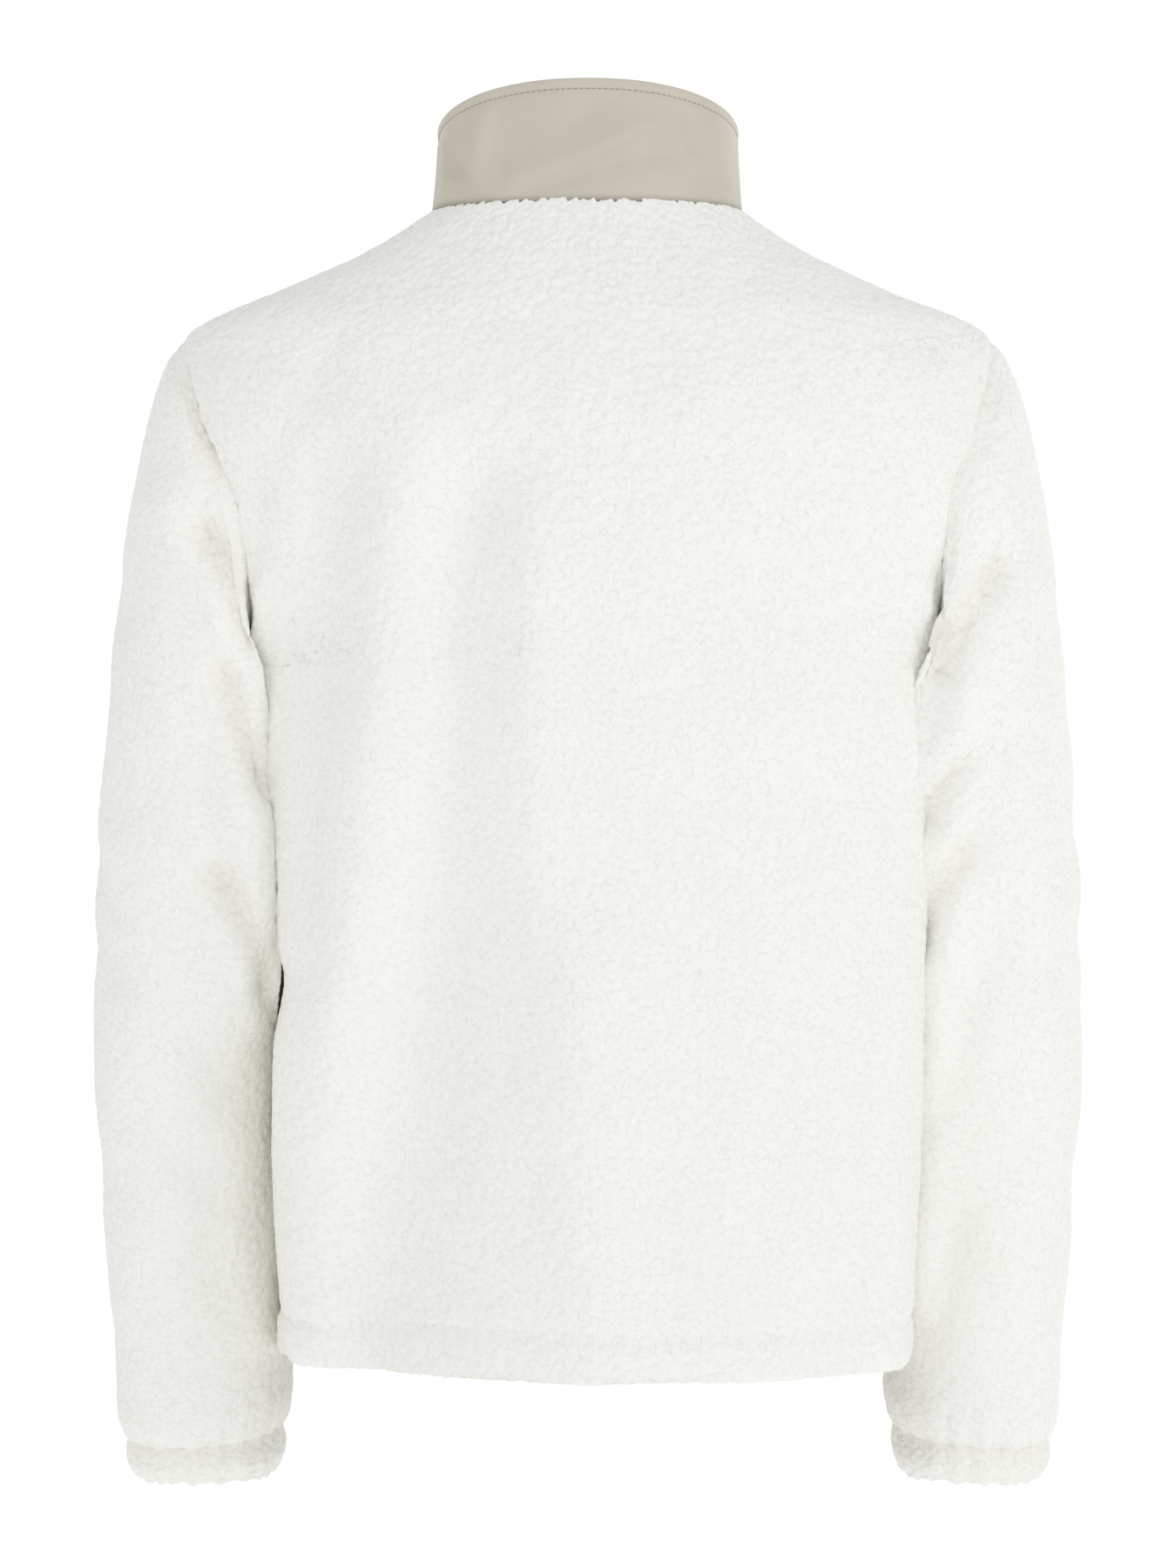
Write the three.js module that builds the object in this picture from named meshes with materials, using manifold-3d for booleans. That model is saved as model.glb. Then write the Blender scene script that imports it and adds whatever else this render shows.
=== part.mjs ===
// A zip-front sherpa fleece jacket with a smooth woven stand collar and elastic cuffs, in the hollow
// form it has when it is worn and its sleeves hang down. Units are millimetres.
// +Z is up, -Y is the front of the jacket, +X is the wearer's left. The origin is the middle of the neck,
// level with the points where the shoulder seams meet the collar, which is where a wearer carries it.
import * as THREE from "three";
import Module from "manifold-3d";

const wasm = await Module();
wasm.setup();

// ---------------------------------------------------------------- driving sizes
const SEAM_GAP = 0.3; // between sewn pieces
const SHERPA_WALL = 4; // knitted backing and its pile
const HEM_WALL = 7; // the hem is turned up once, so it has two layers
const HEM_DEPTH = 28; // from the edge to the line of stitching
const COLLAR_WALL = 2.5; // two layers of woven cloth and an interlining
const CUFF_WALL = 5; // turned band with elastic in it
const TAPE_WALL = 1;
const TAPE = { innerEdge: 0.4, outerEdge: 14.5, slack: 0.2 }; // from the middle of the zip

const HEM_Z = -655;
const ARMPIT_Z = -262;
const SHOULDER_TIP_Z = -69;
const BACK_NECK_Z = -1;
const FRONT_NECK_Z = -58;
const ZIP_HALF_GAP = 7; // from the middle of the zip to the edge of a front panel

const BACK_COLUMNS = 20;
const FRONT_COLUMNS = 10;
const SIDE_ROWS = 10; // from the hem to the armpit
const ARMHOLE_ROWS = 10; // round half the armhole
const SHOULDER_ROWS = 4; // from the shoulder tip to the neck
const ROW_SAMPLES = 120; // points that a row is measured along before it is divided evenly
const ROW_SAG = 2; // how late a row leaves the height that it has at the side
const EVEN_CLIMB = 0.6; // how far the rows by the armhole keep parallel
const COLLAR_ROWS = 3;
const SLEEVE_ROWS = 20;
const CUFF_ROWS = 2;

// The body's sections: its reach behind and in front of the shoulder seams, and how square it is (2 is an
// ellipse).
const BODY = [
  { z: -700, back: 123, front: 133, square: 2.5 },
  { z: HEM_Z, back: 124, front: 134, square: 2.5 },
  { z: -560, back: 127, front: 138, square: 2.5 },
  { z: -400, back: 129, front: 143, square: 2.5 },
  { z: -310, back: 131, front: 143, square: 2.55 },
  { z: ARMPIT_Z, back: 131, front: 141, square: 2.4 },
  { z: -225, back: 131, front: 137, square: 2.08 },
  { z: -195, back: 130, front: 133, square: 2.02 },
  { z: -165, back: 127, front: 128, square: 2.05 },
  { z: -128, back: 121.5, front: 119, square: 2.2 },
  { z: -95, back: 112, front: 107, square: 2.2 },
  { z: SHOULDER_TIP_Z, back: 101, front: 97, square: 2.2 },
  { z: -58, back: 96, front: 92, square: 2.2 },
  { z: -40, back: 86, front: 73, square: 2.2 },
  { z: -20, back: 74, front: 48, square: 2.2 },
  { z: 0, back: 62, front: 22, square: 2.2 },
];

// The body's reach to the left and right of the neck. Above the armpits it takes in the tops of the arms,
// and the armholes are cut out of it. It hangs a little to the right.
const REACH = [
  { z: -700, left: 178, right: 179 },
  { z: HEM_Z, left: 178, right: 181 },
  { z: -576, left: 176.5, right: 184.5 },
  { z: -426, left: 178.5, right: 188 },
  { z: -326, left: 181.5, right: 190.5 },
  { z: -290, left: 184.5, right: 193.5 },
  { z: ARMPIT_Z, left: 190.5, right: 199 },
  { z: -240, left: 203, right: 212 },
  { z: -215, left: 223, right: 232 },
  { z: -182, left: 242, right: 250 },
  { z: -150, left: 249, right: 254 },
  { z: -130, left: 249.5, right: 252.5 },
  { z: -106, left: 247, right: 248 },
  { z: -86.5, left: 239.5, right: 239.5 },
  { z: SHOULDER_TIP_Z, left: 228, right: 227 },
  { z: -46.5, left: 180, right: 175 },
  { z: -26.5, left: 134, right: 131.5 },
  { z: -6.5, left: 101, right: 98.5 },
  { z: 0, left: 91, right: 90 },
];

// The armhole is an egg, seen from the side, with its blunt end down. Its reach is from the shoulder seams.
const ARMHOLE = {
  middleZ: (SHOULDER_TIP_Z + ARMPIT_Z) / 2,
  halfHeight: (SHOULDER_TIP_Z - ARMPIT_Z) / 2,
  middleY: -1,
  back: 79,
  front: 81,
  blunt: 0.1,
};

// The left sleeve's sections, by their distance along the outside of the arm: the outer and inner
// points of the section, its middle and half size from front to back, its tilt and squareness.
const SLEEVE = [
  { along: 0, outX: 228, outZ: -69, inX: 189, inZ: -262, midY: -1, deep: 80, tilt: 0, square: 2 },
  { along: 20, outX: 238.5, outZ: -84, inX: 190, inZ: -266, midY: -1, deep: 83, tilt: 0, square: 2.1 },
  { along: 50, outX: 249, outZ: -112, inX: 188, inZ: -275, midY: -2, deep: 84, tilt: 1, square: 2.2 },
  { along: 90, outX: 258, outZ: -150, inX: 185, inZ: -290, midY: -3, deep: 83, tilt: 2, square: 2.3 },
  { along: 135, outX: 266.5, outZ: -196, inX: 183, inZ: -313, midY: -5, deep: 81, tilt: 3, square: 2.3 },
  { along: 195, outX: 274, outZ: -255, inX: 181, inZ: -346, midY: -8, deep: 79, tilt: 4, square: 2.3 },
  { along: 270, outX: 280.5, outZ: -330, inX: 179.5, inZ: -388, midY: -13, deep: 75, tilt: 5, square: 2.3 },
  { along: 345, outX: 285, outZ: -406, inX: 178.5, inZ: -436, midY: -19, deep: 70, tilt: 6, square: 2.3 },
  { along: 425, outX: 286, outZ: -486, inX: 178, inZ: -494, midY: -28, deep: 64, tilt: 8, square: 2.3 },
  { along: 505, outX: 283, outZ: -564, inX: 177.5, inZ: -558, midY: -40, deep: 58, tilt: 9, square: 2.3 },
  { along: 578, outX: 279, outZ: -637, inX: 174, inZ: -622, midY: -52, deep: 53, tilt: 9, square: 2.3 },
  { along: 635, outX: 275, outZ: -692, inX: 174.5, inZ: -678, midY: -61, deep: 49, tilt: 8, square: 2.3 },
  { along: 655, outX: 270, outZ: -710, inX: 180, inZ: -703, midY: -64, deep: 42, tilt: 7, square: 2.2 },
];

// The cuff goes on from the sleeve's last section.
const CUFF = [
  { along: 0, outX: 270, outZ: -710, inX: 180, inZ: -703, midY: -64, deep: 42, tilt: 7, square: 2.2 },
  { along: 14, outX: 270.5, outZ: -723, inX: 180, inZ: -716, midY: -66, deep: 42.5, tilt: 6, square: 2.2 },
  { along: 26, outX: 267, outZ: -733, inX: 183.5, inZ: -729, midY: -68, deep: 39.5, tilt: 5, square: 2.2 },
];

// The collar's top edge: an oval about its own middle, level from side to side and lower at the front.
const COLLAR_TOP = {
  middleY: -18, halfWidth: 87, back: 73, front: 72.5, sideZ: 48.5, backZ: 68.5, frontZ: 12, roundness: 0.92,
};
const SLEEVE_CLEARANCE = 4.8; // twice the space between the sleeve and the body where they touch
const COLLAR_INSET = 1.5; // the woven collar is thinner than the fleece that it stands on

// Long soft folds in the body, as lines across the front or back. Depth is negative in a trough.
const BACK_FOLDS = [
  { fromX: 122, fromZ: -180, toX: 150, toZ: -410, halfWidth: 24, depth: -3 },
  { fromX: 48, fromZ: -190, toX: 62, toZ: -640, halfWidth: 34, depth: -5 },
  { fromX: 88, fromZ: -240, toX: 126, toZ: -560, halfWidth: 20, depth: 3 },
  { fromX: -6, fromZ: -340, toX: -2, toZ: -640, halfWidth: 24, depth: 2.5 },
  { fromX: -140, fromZ: -330, toX: -118, toZ: -640, halfWidth: 28, depth: -2 },
];
const FRONT_FOLDS = [
  { fromX: 150, fromZ: -270, toX: 96, toZ: -470, halfWidth: 24, depth: -4 },
  { fromX: 84, fromZ: -430, toX: 72, toZ: -640, halfWidth: 30, depth: -4 },
  { fromX: -158, fromZ: -280, toX: -120, toZ: -520, halfWidth: 26, depth: -4 },
  { fromX: -62, fromZ: -400, toX: -78, toZ: -640, halfWidth: 28, depth: 3 },
];

// Folds in the sleeves, as lines across the back or front of each one.
const SLEEVE_FOLDS = {
  left: {
    back: [
      { fromX: 223, fromZ: -104, toX: 203, toZ: -160, halfWidth: 9, depth: -3 },
      { fromX: 226, fromZ: -168, toX: 195, toZ: -236, halfWidth: 13, depth: -7 },
      { fromX: 206, fromZ: -282, toX: 199, toZ: -304, halfWidth: 13, depth: -4 },
      { fromX: 206, fromZ: -392, toX: 194, toZ: -428, halfWidth: 15, depth: -7 },
    ],
    front: [
      { fromX: 232, fromZ: -150, toX: 197, toZ: -230, halfWidth: 15, depth: -6 },
      { fromX: 252, fromZ: -352, toX: 198, toZ: -398, halfWidth: 14, depth: -6 },
      { fromX: 258, fromZ: -412, toX: 204, toZ: -438, halfWidth: 13, depth: -5 },
    ],
  },
  right: {
    back: [
      { fromX: -232, fromZ: -192, toX: -200, toZ: -258, halfWidth: 14, depth: -7 },
      { fromX: -214, fromZ: -306, toX: -200, toZ: -338, halfWidth: 13, depth: -4 },
      { fromX: -212, fromZ: -372, toX: -198, toZ: -402, halfWidth: 14, depth: -5 },
    ],
    front: [
      { fromX: -228, fromZ: -158, toX: -201, toZ: -236, halfWidth: 15, depth: -6 },
      { fromX: -246, fromZ: -338, toX: -202, toZ: -388, halfWidth: 15, depth: -6 },
      { fromX: -256, fromZ: -424, toX: -206, toZ: -446, halfWidth: 13, depth: -4 },
    ],
  },
};

// The closed teeth and the box that they end in at the hem.
const CHAIN = { halfAcross: 2.9, depth: 2.2 };
const BOX = { halfAcross: 4.5, depth: 2.6, bottomZ: HEM_Z + 1, topZ: HEM_Z + 12 };

// The zip's slider, bridge and pull tab, from the front of the slider's own origin.
const SLIDER = { halfWidth: 4.6, top: 9, bottom: -4, depth: 4.4, chinWidth: 2.4 };
const BRIDGE = { halfWidth: 1, top: 7.6, bottom: -1, bar: 1.2, reach: 1.8 };
const PULL = { halfWidth: 3.6, slot: 1.5, thick: 1.2, slotEnd: -2.6, length: 24, pivotZ: 5.3, bar: 0.6 };

// ---------------------------------------------------------------- materials
const sherpa = new THREE.MeshStandardMaterial({ color: 0xf0efe9, roughness: 1, metalness: 0 });
const woven = new THREE.MeshStandardMaterial({ color: 0xc9c2b2, roughness: 0.62, metalness: 0 });
const tapeCloth = new THREE.MeshStandardMaterial({ color: 0xbdb6a6, roughness: 0.85, metalness: 0 });
const teethPlastic = new THREE.MeshStandardMaterial({ color: 0xb5ae9e, roughness: 0.45, metalness: 0 });
const sliderMetal = new THREE.MeshStandardMaterial({ color: 0xa9a49a, roughness: 0.4, metalness: 0.85 });

// ---------------------------------------------------------------- curves and folds
const radians = THREE.MathUtils.degToRad;
const mix = THREE.MathUtils.lerp;
const rounded = (v) => Math.round(v * 1e4) / 1e4;
const steps = (count, from = 0, to = 1) => (
  Array.from({ length: count + 1 }, (_, i) => mix(from, to, i / count)));

// A smooth function through one column of a table, with no overshoot between rows.
function smoothColumn(rows, at, of) {
  const last = rows.length - 1;
  const secant = (i) => (rows[i + 1][of] - rows[i][of]) / (rows[i + 1][at] - rows[i][at]);
  const slopes = rows.map((_, i) => {
    if (i === 0) return secant(0);
    if (i === last) return secant(last - 1);
    const [before, after] = [secant(i - 1), secant(i)];
    return before * after <= 0 ? 0 : (2 * before * after) / (before + after);
  });
  return (x) => {
    const inside = THREE.MathUtils.clamp(x, rows[0][at], rows[last][at]);
    const i = rows.findLastIndex((row, k) => k < last && row[at] <= inside);
    const span = rows[i + 1][at] - rows[i][at];
    const t = (inside - rows[i][at]) / span;
    const rise = t * t * (3 - 2 * t);
    return mix(rows[i][of], rows[i + 1][of], rise)
      + span * (slopes[i] * t * (1 - t) ** 2 - slopes[i + 1] * t * t * (1 - t));
  };
}

const columnsOf = (rows, at, names) => (
  Object.fromEntries(names.map((name) => [name, smoothColumn(rows, at, name)])));
const body = columnsOf(BODY, "z", ["back", "front", "square"]);
const reach = columnsOf(REACH, "z", ["left", "right"]);

// The body's reach to one side at a height. Side is 1 at the left and -1 at the right.
const reachAt = (side, z) => (side > 0 ? reach.left(z) : reach.right(z));

// The depth of a table of folds at a point. A fold is a soft line whose ends fade out.
function foldDepth(folds, x, z) {
  return folds.reduce((sum, { fromX, fromZ, toX, toZ, halfWidth, depth }) => {
    const [dx, dz] = [toX - fromX, toZ - fromZ];
    const length = Math.hypot(dx, dz);
    const along = ((x - fromX) * dx + (z - fromZ) * dz) / length;
    const off = ((x - fromX) * dz - (z - fromZ) * dx) / length;
    const past = Math.max(0, -along, along - length);
    return sum + depth * Math.exp(-((off / halfWidth) ** 2) - (past / (1.5 * halfWidth)) ** 2);
  }, 0);
}

// ---------------------------------------------------------------- the body's surface
// One of the armhole's points: turn 0 is the shoulder tip and 180 the armpit. Facing is 1 at the back
// and -1 at the front.
function armholePoint(side, facing, turn) {
  const [c, s] = [Math.cos(radians(turn)), Math.sin(radians(turn))];
  const furthest = facing > 0 ? ARMHOLE.back : ARMHOLE.front;
  const z = ARMHOLE.middleZ + ARMHOLE.halfHeight * c;
  const y = Math.max(furthest * s * (1 - ARMHOLE.blunt * c), SEAM_GAP / 2);
  const depth = facing > 0 ? body.back(z) : body.front(z);
  const n = body.square(z);
  const x = reachAt(side, z) * (1 - Math.min(1, y / depth) ** n) ** (1 / n);
  return new THREE.Vector3(side * x, facing * y, z);
}

// The rows of a front or back panel: how high each one starts at the side and ends at the middle, and
// the turn round the armhole where it starts there.
function panelRows(middleAtArmpit, middleAtTip, middleAtNeck) {
  const rows = steps(SIDE_ROWS, HEM_Z, ARMPIT_Z).map((z, i) => ({
    zone: "side", sideZ: z, middleZ: mix(HEM_Z, middleAtArmpit, i / SIDE_ROWS),
  }));
  for (const share of steps(ARMHOLE_ROWS).slice(1)) {
    const turn = 180 * (1 - share);
    const sideZ = ARMHOLE.middleZ + ARMHOLE.halfHeight * Math.cos(radians(turn));
    const climb = (sideZ - ARMPIT_Z) / (SHOULDER_TIP_Z - ARMPIT_Z);
    const middleZ = mix(middleAtArmpit, middleAtTip, mix(share, climb, EVEN_CLIMB));
    rows.push({ zone: "armhole", turn, sideZ, middleZ });
  }
  for (const share of steps(SHOULDER_ROWS).slice(1)) {
    const middleZ = mix(middleAtTip, middleAtNeck, share);
    rows.push({ zone: "shoulder", sideZ: mix(SHOULDER_TIP_Z, 0, share), middleZ });
  }
  rows[SIDE_ROWS].turn = 180;
  return rows;
}

// A point of a half row. Angle 0 is the side of the body and 90 the middle of its front or back.
function rowPoint(row, side, facing, startAngle, angle) {
  const [start, s] = [Math.sin(startAngle), Math.sin(angle)];
  const z = mix(row.sideZ, row.middleZ, ((s - start) / (1 - start)) ** ROW_SAG);
  const n = body.square(z);
  const x = reachAt(side, row.sideZ) * Math.max(0, Math.cos(angle)) ** (2 / body.square(row.sideZ));
  const depth = facing > 0 ? body.back(z) : body.front(z);
  const y = depth * Math.max(0, 1 - (x / reachAt(side, z)) ** n) ** (1 / n);
  return new THREE.Vector3(side * x, facing * Math.max(y, SEAM_GAP / 2), z);
}

// A half row from the side to the middle, as closely spaced points.
function halfRow(row, side, facing) {
  let startAngle = 0;
  let first = null;
  if (row.zone === "armhole" && row.turn > 0) {
    first = armholePoint(side, facing, row.turn);
    const n = body.square(row.sideZ);
    const share = Math.abs(first.x) / reachAt(side, row.sideZ);
    startAngle = Math.acos(Math.min(1, share ** (n / 2)));
  }
  const angles = steps(ROW_SAMPLES, startAngle, Math.PI / 2);
  const points = angles.map((angle) => rowPoint(row, side, facing, startAngle, angle));
  if (first) points[0].copy(first);
  return points;
}

// Divides a line of points into equal lengths.
function evenly(points, count) {
  const lengths = [0];
  points.slice(1).forEach((p, i) => lengths.push(lengths[i] + p.distanceTo(points[i])));
  return steps(count, 0, lengths.at(-1)).map((want) => {
    const i = Math.max(1, lengths.findIndex((l) => l >= want - 1e-9));
    const share = (want - lengths[i - 1]) / (lengths[i] - lengths[i - 1] || 1);
    return points[i - 1].clone().lerp(points[i], share);
  });
}

// Cuts a half row short at the edge of the zip.
function cutAtZip(points, side) {
  const kept = points.filter((p) => side * p.x > ZIP_HALF_GAP);
  const edge = points[kept.length];
  const before = kept.at(-1);
  const share = (side * before.x - ZIP_HALF_GAP) / (side * before.x - side * edge.x);
  return [...kept, before.clone().lerp(edge, share)];
}

// ---------------------------------------------------------------- walls
const cell = (grid, i, j, closed) => {
  const width = grid[0].length;
  const row = grid[THREE.MathUtils.clamp(i, 0, grid.length - 1)];
  return row[closed ? (j + width) % width : THREE.MathUtils.clamp(j, 0, width - 1)];
};

// The normals of a grid of points, to the side that the rows and columns make by the right-hand rule.
function gridNormals(grid, closed, sign) {
  return grid.map((row, i) => row.map((_, j) => {
    const across = cell(grid, i, j + 1, closed).clone().sub(cell(grid, i, j - 1, closed));
    const up = cell(grid, i + 1, j, closed).clone().sub(cell(grid, i - 1, j, closed));
    return across.cross(up).normalize().multiplyScalar(sign);
  }));
}

// A closed wall between two grids of points. The outer grid's rows and columns turn the way that the
// sign says.
function wallGeometry(outer, inner, closed, sign) {
  const [rows, columns] = [outer.length, outer[0].length];
  const vertices = [...outer.flat(), ...inner.flat()];
  const at = (layer, i, j) => layer * rows * columns + i * columns + (j % columns);
  const faces = [];
  const quad = (a, b, c, d) => {
    const shortAC = vertices[a].distanceTo(vertices[c]) < vertices[b].distanceTo(vertices[d]);
    const triangles = shortAC ? [a, b, c, a, c, d] : [a, b, d, b, c, d];
    faces.push(...(sign > 0 ? triangles : triangles.reverse()));
  };
  const lastColumn = closed ? columns : columns - 1;
  for (let i = 0; i < rows - 1; i += 1) {
    for (let j = 0; j < lastColumn; j += 1) {
      quad(at(0, i, j), at(0, i, j + 1), at(0, i + 1, j + 1), at(0, i + 1, j));
      quad(at(1, i, j), at(1, i + 1, j), at(1, i + 1, j + 1), at(1, i, j + 1));
    }
  }
  for (let j = 0; j < lastColumn; j += 1) {
    quad(at(1, 0, j), at(1, 0, j + 1), at(0, 0, j + 1), at(0, 0, j));
    quad(at(0, rows - 1, j), at(0, rows - 1, j + 1), at(1, rows - 1, j + 1), at(1, rows - 1, j));
  }
  for (let i = 0; i < rows - 1 && !closed; i += 1) {
    quad(at(0, i, 0), at(0, i + 1, 0), at(1, i + 1, 0), at(1, i, 0));
    quad(at(1, i, columns - 1), at(1, i + 1, columns - 1), at(0, i + 1, columns - 1), at(0, i, columns - 1));
  }
  const geometry = new THREE.BufferGeometry();
  const numbers = vertices.flatMap((v) => v.toArray().map(rounded));
  geometry.setAttribute("position", new THREE.Float32BufferAttribute(numbers, 3));
  geometry.setIndex(faces);
  geometry.computeVertexNormals();
  return geometry;
}

function piece(name, geometry, material) {
  const mesh = new THREE.Mesh(geometry, material);
  mesh.name = name;
  return mesh;
}

// ---------------------------------------------------------------- front and back panels
const aboveHem = (z) => THREE.MathUtils.smoothstep(z, HEM_Z + HEM_DEPTH - 4, HEM_Z + HEM_DEPTH + 8);
const bodyWall = (z) => mix(HEM_WALL, SHERPA_WALL, aboveHem(z));

// The way from the armhole's seam to the inside of its cloth: towards the middle of the armhole, and at
// the armpit partly inward from each piece, because they meet back to back there.
function intoArmhole(p, inward, turn) {
  const way = new THREE.Vector3(0, ARMHOLE.middleY - p.y, ARMHOLE.middleZ - p.z).normalize();
  way.lerp(inward, 0.5 * THREE.MathUtils.smoothstep(turn, 100, 170));
  if (Math.abs(p.y) < SEAM_GAP) way.setY(0);
  return way.setLength(1.15 * SHERPA_WALL);
}

// The way from the neck's seam to the inside of its cloth. At the zip it is straight back.
function intoNeck(p) {
  const onZip = Math.abs(p.x) < ZIP_HALF_GAP + SEAM_GAP;
  return new THREE.Vector3(onZip ? 0 : -p.x, COLLAR_TOP.middleY - p.y, 0).normalize();
}

// The inner points of a panel: one wall in from the outer ones. At a seam they keep to the seam's own
// plane, so that the next panel's edge meets this one's face to face.
function panelInner(outer, normals, rows, seamColumns) {
  return outer.map((line, i) => line.map((p, j) => {
    if (i === outer.length - 1) return p.clone().addScaledVector(intoNeck(p), SHERPA_WALL);
    const inward = normals[i][j].clone().negate();
    const onSeam = seamColumns.includes(j);
    if (onSeam && rows[i].turn > 0) return p.clone().add(intoArmhole(p, inward, rows[i].turn));
    if (onSeam) inward.setY(0).normalize();
    if (!onSeam && (j === 0 || j === line.length - 1)) inward.setX(0).normalize();
    if (i === 0) inward.setZ(0).normalize();
    return p.clone().addScaledVector(inward, bodyWall(p.z));
  }));
}

// A panel's points moved along their normals into its folds. Its seams stay where they are.
function foldedPanel(flat, normals, folds) {
  const last = flat.length - 1;
  return flat.map((line, i) => line.map((p, j) => {
    if (j === 0 || j === line.length - 1 || i === last) return p;
    return p.clone().addScaledVector(normals[i][j], foldDepth(folds, p.x, p.z));
  }));
}

function backPanel() {
  const rows = panelRows(ARMPIT_Z, -92, BACK_NECK_Z);
  const flat = rows.map((row) => {
    const left = halfRow(row, 1, 1);
    const right = halfRow(row, -1, 1).reverse();
    return evenly([...left, ...right.slice(1)], BACK_COLUMNS);
  });
  const outer = foldedPanel(flat, gridNormals(flat, false, 1), BACK_FOLDS);
  const inner = panelInner(outer, gridNormals(outer, false, 1), rows, [0, BACK_COLUMNS]);
  return { outer, mesh: piece("back_panel", wallGeometry(outer, inner, false, 1), sherpa) };
}

function frontPanel(name, side) {
  const rows = panelRows(ARMPIT_Z - 8, -112, FRONT_NECK_Z);
  const flat = rows.map((row) => evenly(cutAtZip(halfRow(row, side, -1), side), FRONT_COLUMNS));
  const outer = foldedPanel(flat, gridNormals(flat, false, -side), FRONT_FOLDS);
  const inner = panelInner(outer, gridNormals(outer, false, -side), rows, [0]);
  return { outer, inner, mesh: piece(name, wallGeometry(outer, inner, false, -side), sherpa) };
}

// ---------------------------------------------------------------- sleeves and cuffs
const SECTION_COLUMNS = ["outX", "outZ", "inX", "inZ", "midY", "deep", "tilt", "square"];

// The turns round the armhole that the panels' rows start at, so that the sleeve meets them point to point.
const ARMHOLE_TURNS = steps(2 * ARMHOLE_ROWS, 0, 360).slice(0, -1);

// A point of a section of the arm. The side by the body keeps clear of the body.
function sectionPoint(sections, side, along, turn) {
  const [c, s] = [Math.cos(radians(turn)), Math.sin(radians(turn))];
  const at = Object.fromEntries(SECTION_COLUMNS.map((name) => [name, sections[name](along)]));
  const share = (1 + Math.sign(c) * Math.abs(c) ** (2 / at.square)) / 2;
  const deep = at.deep * Math.sign(s) * Math.abs(s) ** (2 / at.square);
  const tilt = radians(at.tilt);
  const z = mix(at.inZ, at.outZ, share) - deep * Math.sin(tilt);
  const y = at.midY + deep * Math.cos(tilt);
  const x = mix(at.inX, at.outX, share);
  return new THREE.Vector3(side * clearOf(x, z < ARMPIT_Z ? bodySide(side, y, z) : 0), y, z);
}

// The greater of a distance and a limit, with a rounded change from one to the other.
const clearOf = (x, limit) => (x + limit + Math.hypot(x - limit, SLEEVE_CLEARANCE)) / 2;

// The body's reach to one side at a depth and height.
function bodySide(side, y, z) {
  const n = body.square(z);
  const depth = y > 0 ? body.back(z) : body.front(z);
  return reachAt(side, z) * Math.max(0, 1 - Math.abs(y / depth) ** n) ** (1 / n);
}

// The sleeve's first section is the armhole itself, and the difference fades out down the arm.
function sleeve(name, side, folds) {
  const sections = columnsOf(SLEEVE, "along", SECTION_COLUMNS);
  const end = SLEEVE.at(-1).along;
  const misfit = ARMHOLE_TURNS.map((turn) => {
    const onBody = turn <= 180 ? armholePoint(side, 1, turn) : armholePoint(side, -1, 360 - turn);
    onBody.x += side * SEAM_GAP;
    return onBody.sub(sectionPoint(sections, side, 0, turn));
  });
  const flat = steps(SLEEVE_ROWS).map((t) => {
    const along = end * t ** 1.15;
    const fade = 1 - THREE.MathUtils.smoothstep(along, 0, 120);
    return ARMHOLE_TURNS.map((turn, j) => (
      sectionPoint(sections, side, along, turn).addScaledVector(misfit[j], fade)));
  });
  const flatNormals = gridNormals(flat, true, -side);
  const outer = flat.map((ring, i) => ring.map((p, j) => {
    const facing = flatNormals[i][j].y;
    const depth = foldDepth(facing > 0 ? folds.back : folds.front, p.x, p.z);
    const hold = THREE.MathUtils.smoothstep(Math.abs(facing), 0, 0.6) * THREE.MathUtils.smoothstep(i, 1, 4);
    return p.clone().addScaledVector(flatNormals[i][j], hold * depth);
  }));
  const normals = gridNormals(outer, true, -side);
  const inner = outer.map((ring, i) => ring.map((p, j) => {
    const inward = normals[i][j].clone().negate();
    const turn = Math.min(ARMHOLE_TURNS[j], 360 - ARMHOLE_TURNS[j]);
    if (i === 0) return p.clone().add(intoArmhole(p, inward, turn));
    if (i === SLEEVE_ROWS) inward.setZ(0).normalize();
    return p.clone().addScaledVector(inward, SHERPA_WALL);
  }));
  return piece(name, wallGeometry(outer, inner, true, -side), sherpa);
}

function cuff(name, side) {
  const sections = columnsOf(CUFF, "along", SECTION_COLUMNS);
  const outer = steps(CUFF_ROWS, 0, CUFF.at(-1).along).map((along) => ARMHOLE_TURNS.map((turn) => {
    const p = sectionPoint(sections, side, along, turn);
    return p.setZ(p.z - SEAM_GAP);
  }));
  const normals = gridNormals(outer, true, -side);
  const inner = outer.map((ring, i) => ring.map((p, j) => {
    const inward = normals[i][j].clone().negate();
    if (i === 0) inward.setZ(0).normalize();
    return p.clone().addScaledVector(inward, CUFF_WALL);
  }));
  return piece(name, wallGeometry(outer, inner, true, -side), sherpa);
}

// ---------------------------------------------------------------- collar
function collarTopPoint(angle) {
  const [c, s] = [Math.cos(angle), Math.sin(angle)];
  const y = COLLAR_TOP.middleY + (s > 0 ? COLLAR_TOP.back : COLLAR_TOP.front) * s;
  const z = s > 0
    ? mix(COLLAR_TOP.sideZ, COLLAR_TOP.backZ, s)
    : mix(COLLAR_TOP.sideZ, COLLAR_TOP.frontZ, (-s) ** 1.5);
  return new THREE.Vector3(COLLAR_TOP.halfWidth * Math.sign(c) * Math.abs(c) ** COLLAR_TOP.roundness, y, z);
}

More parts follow.
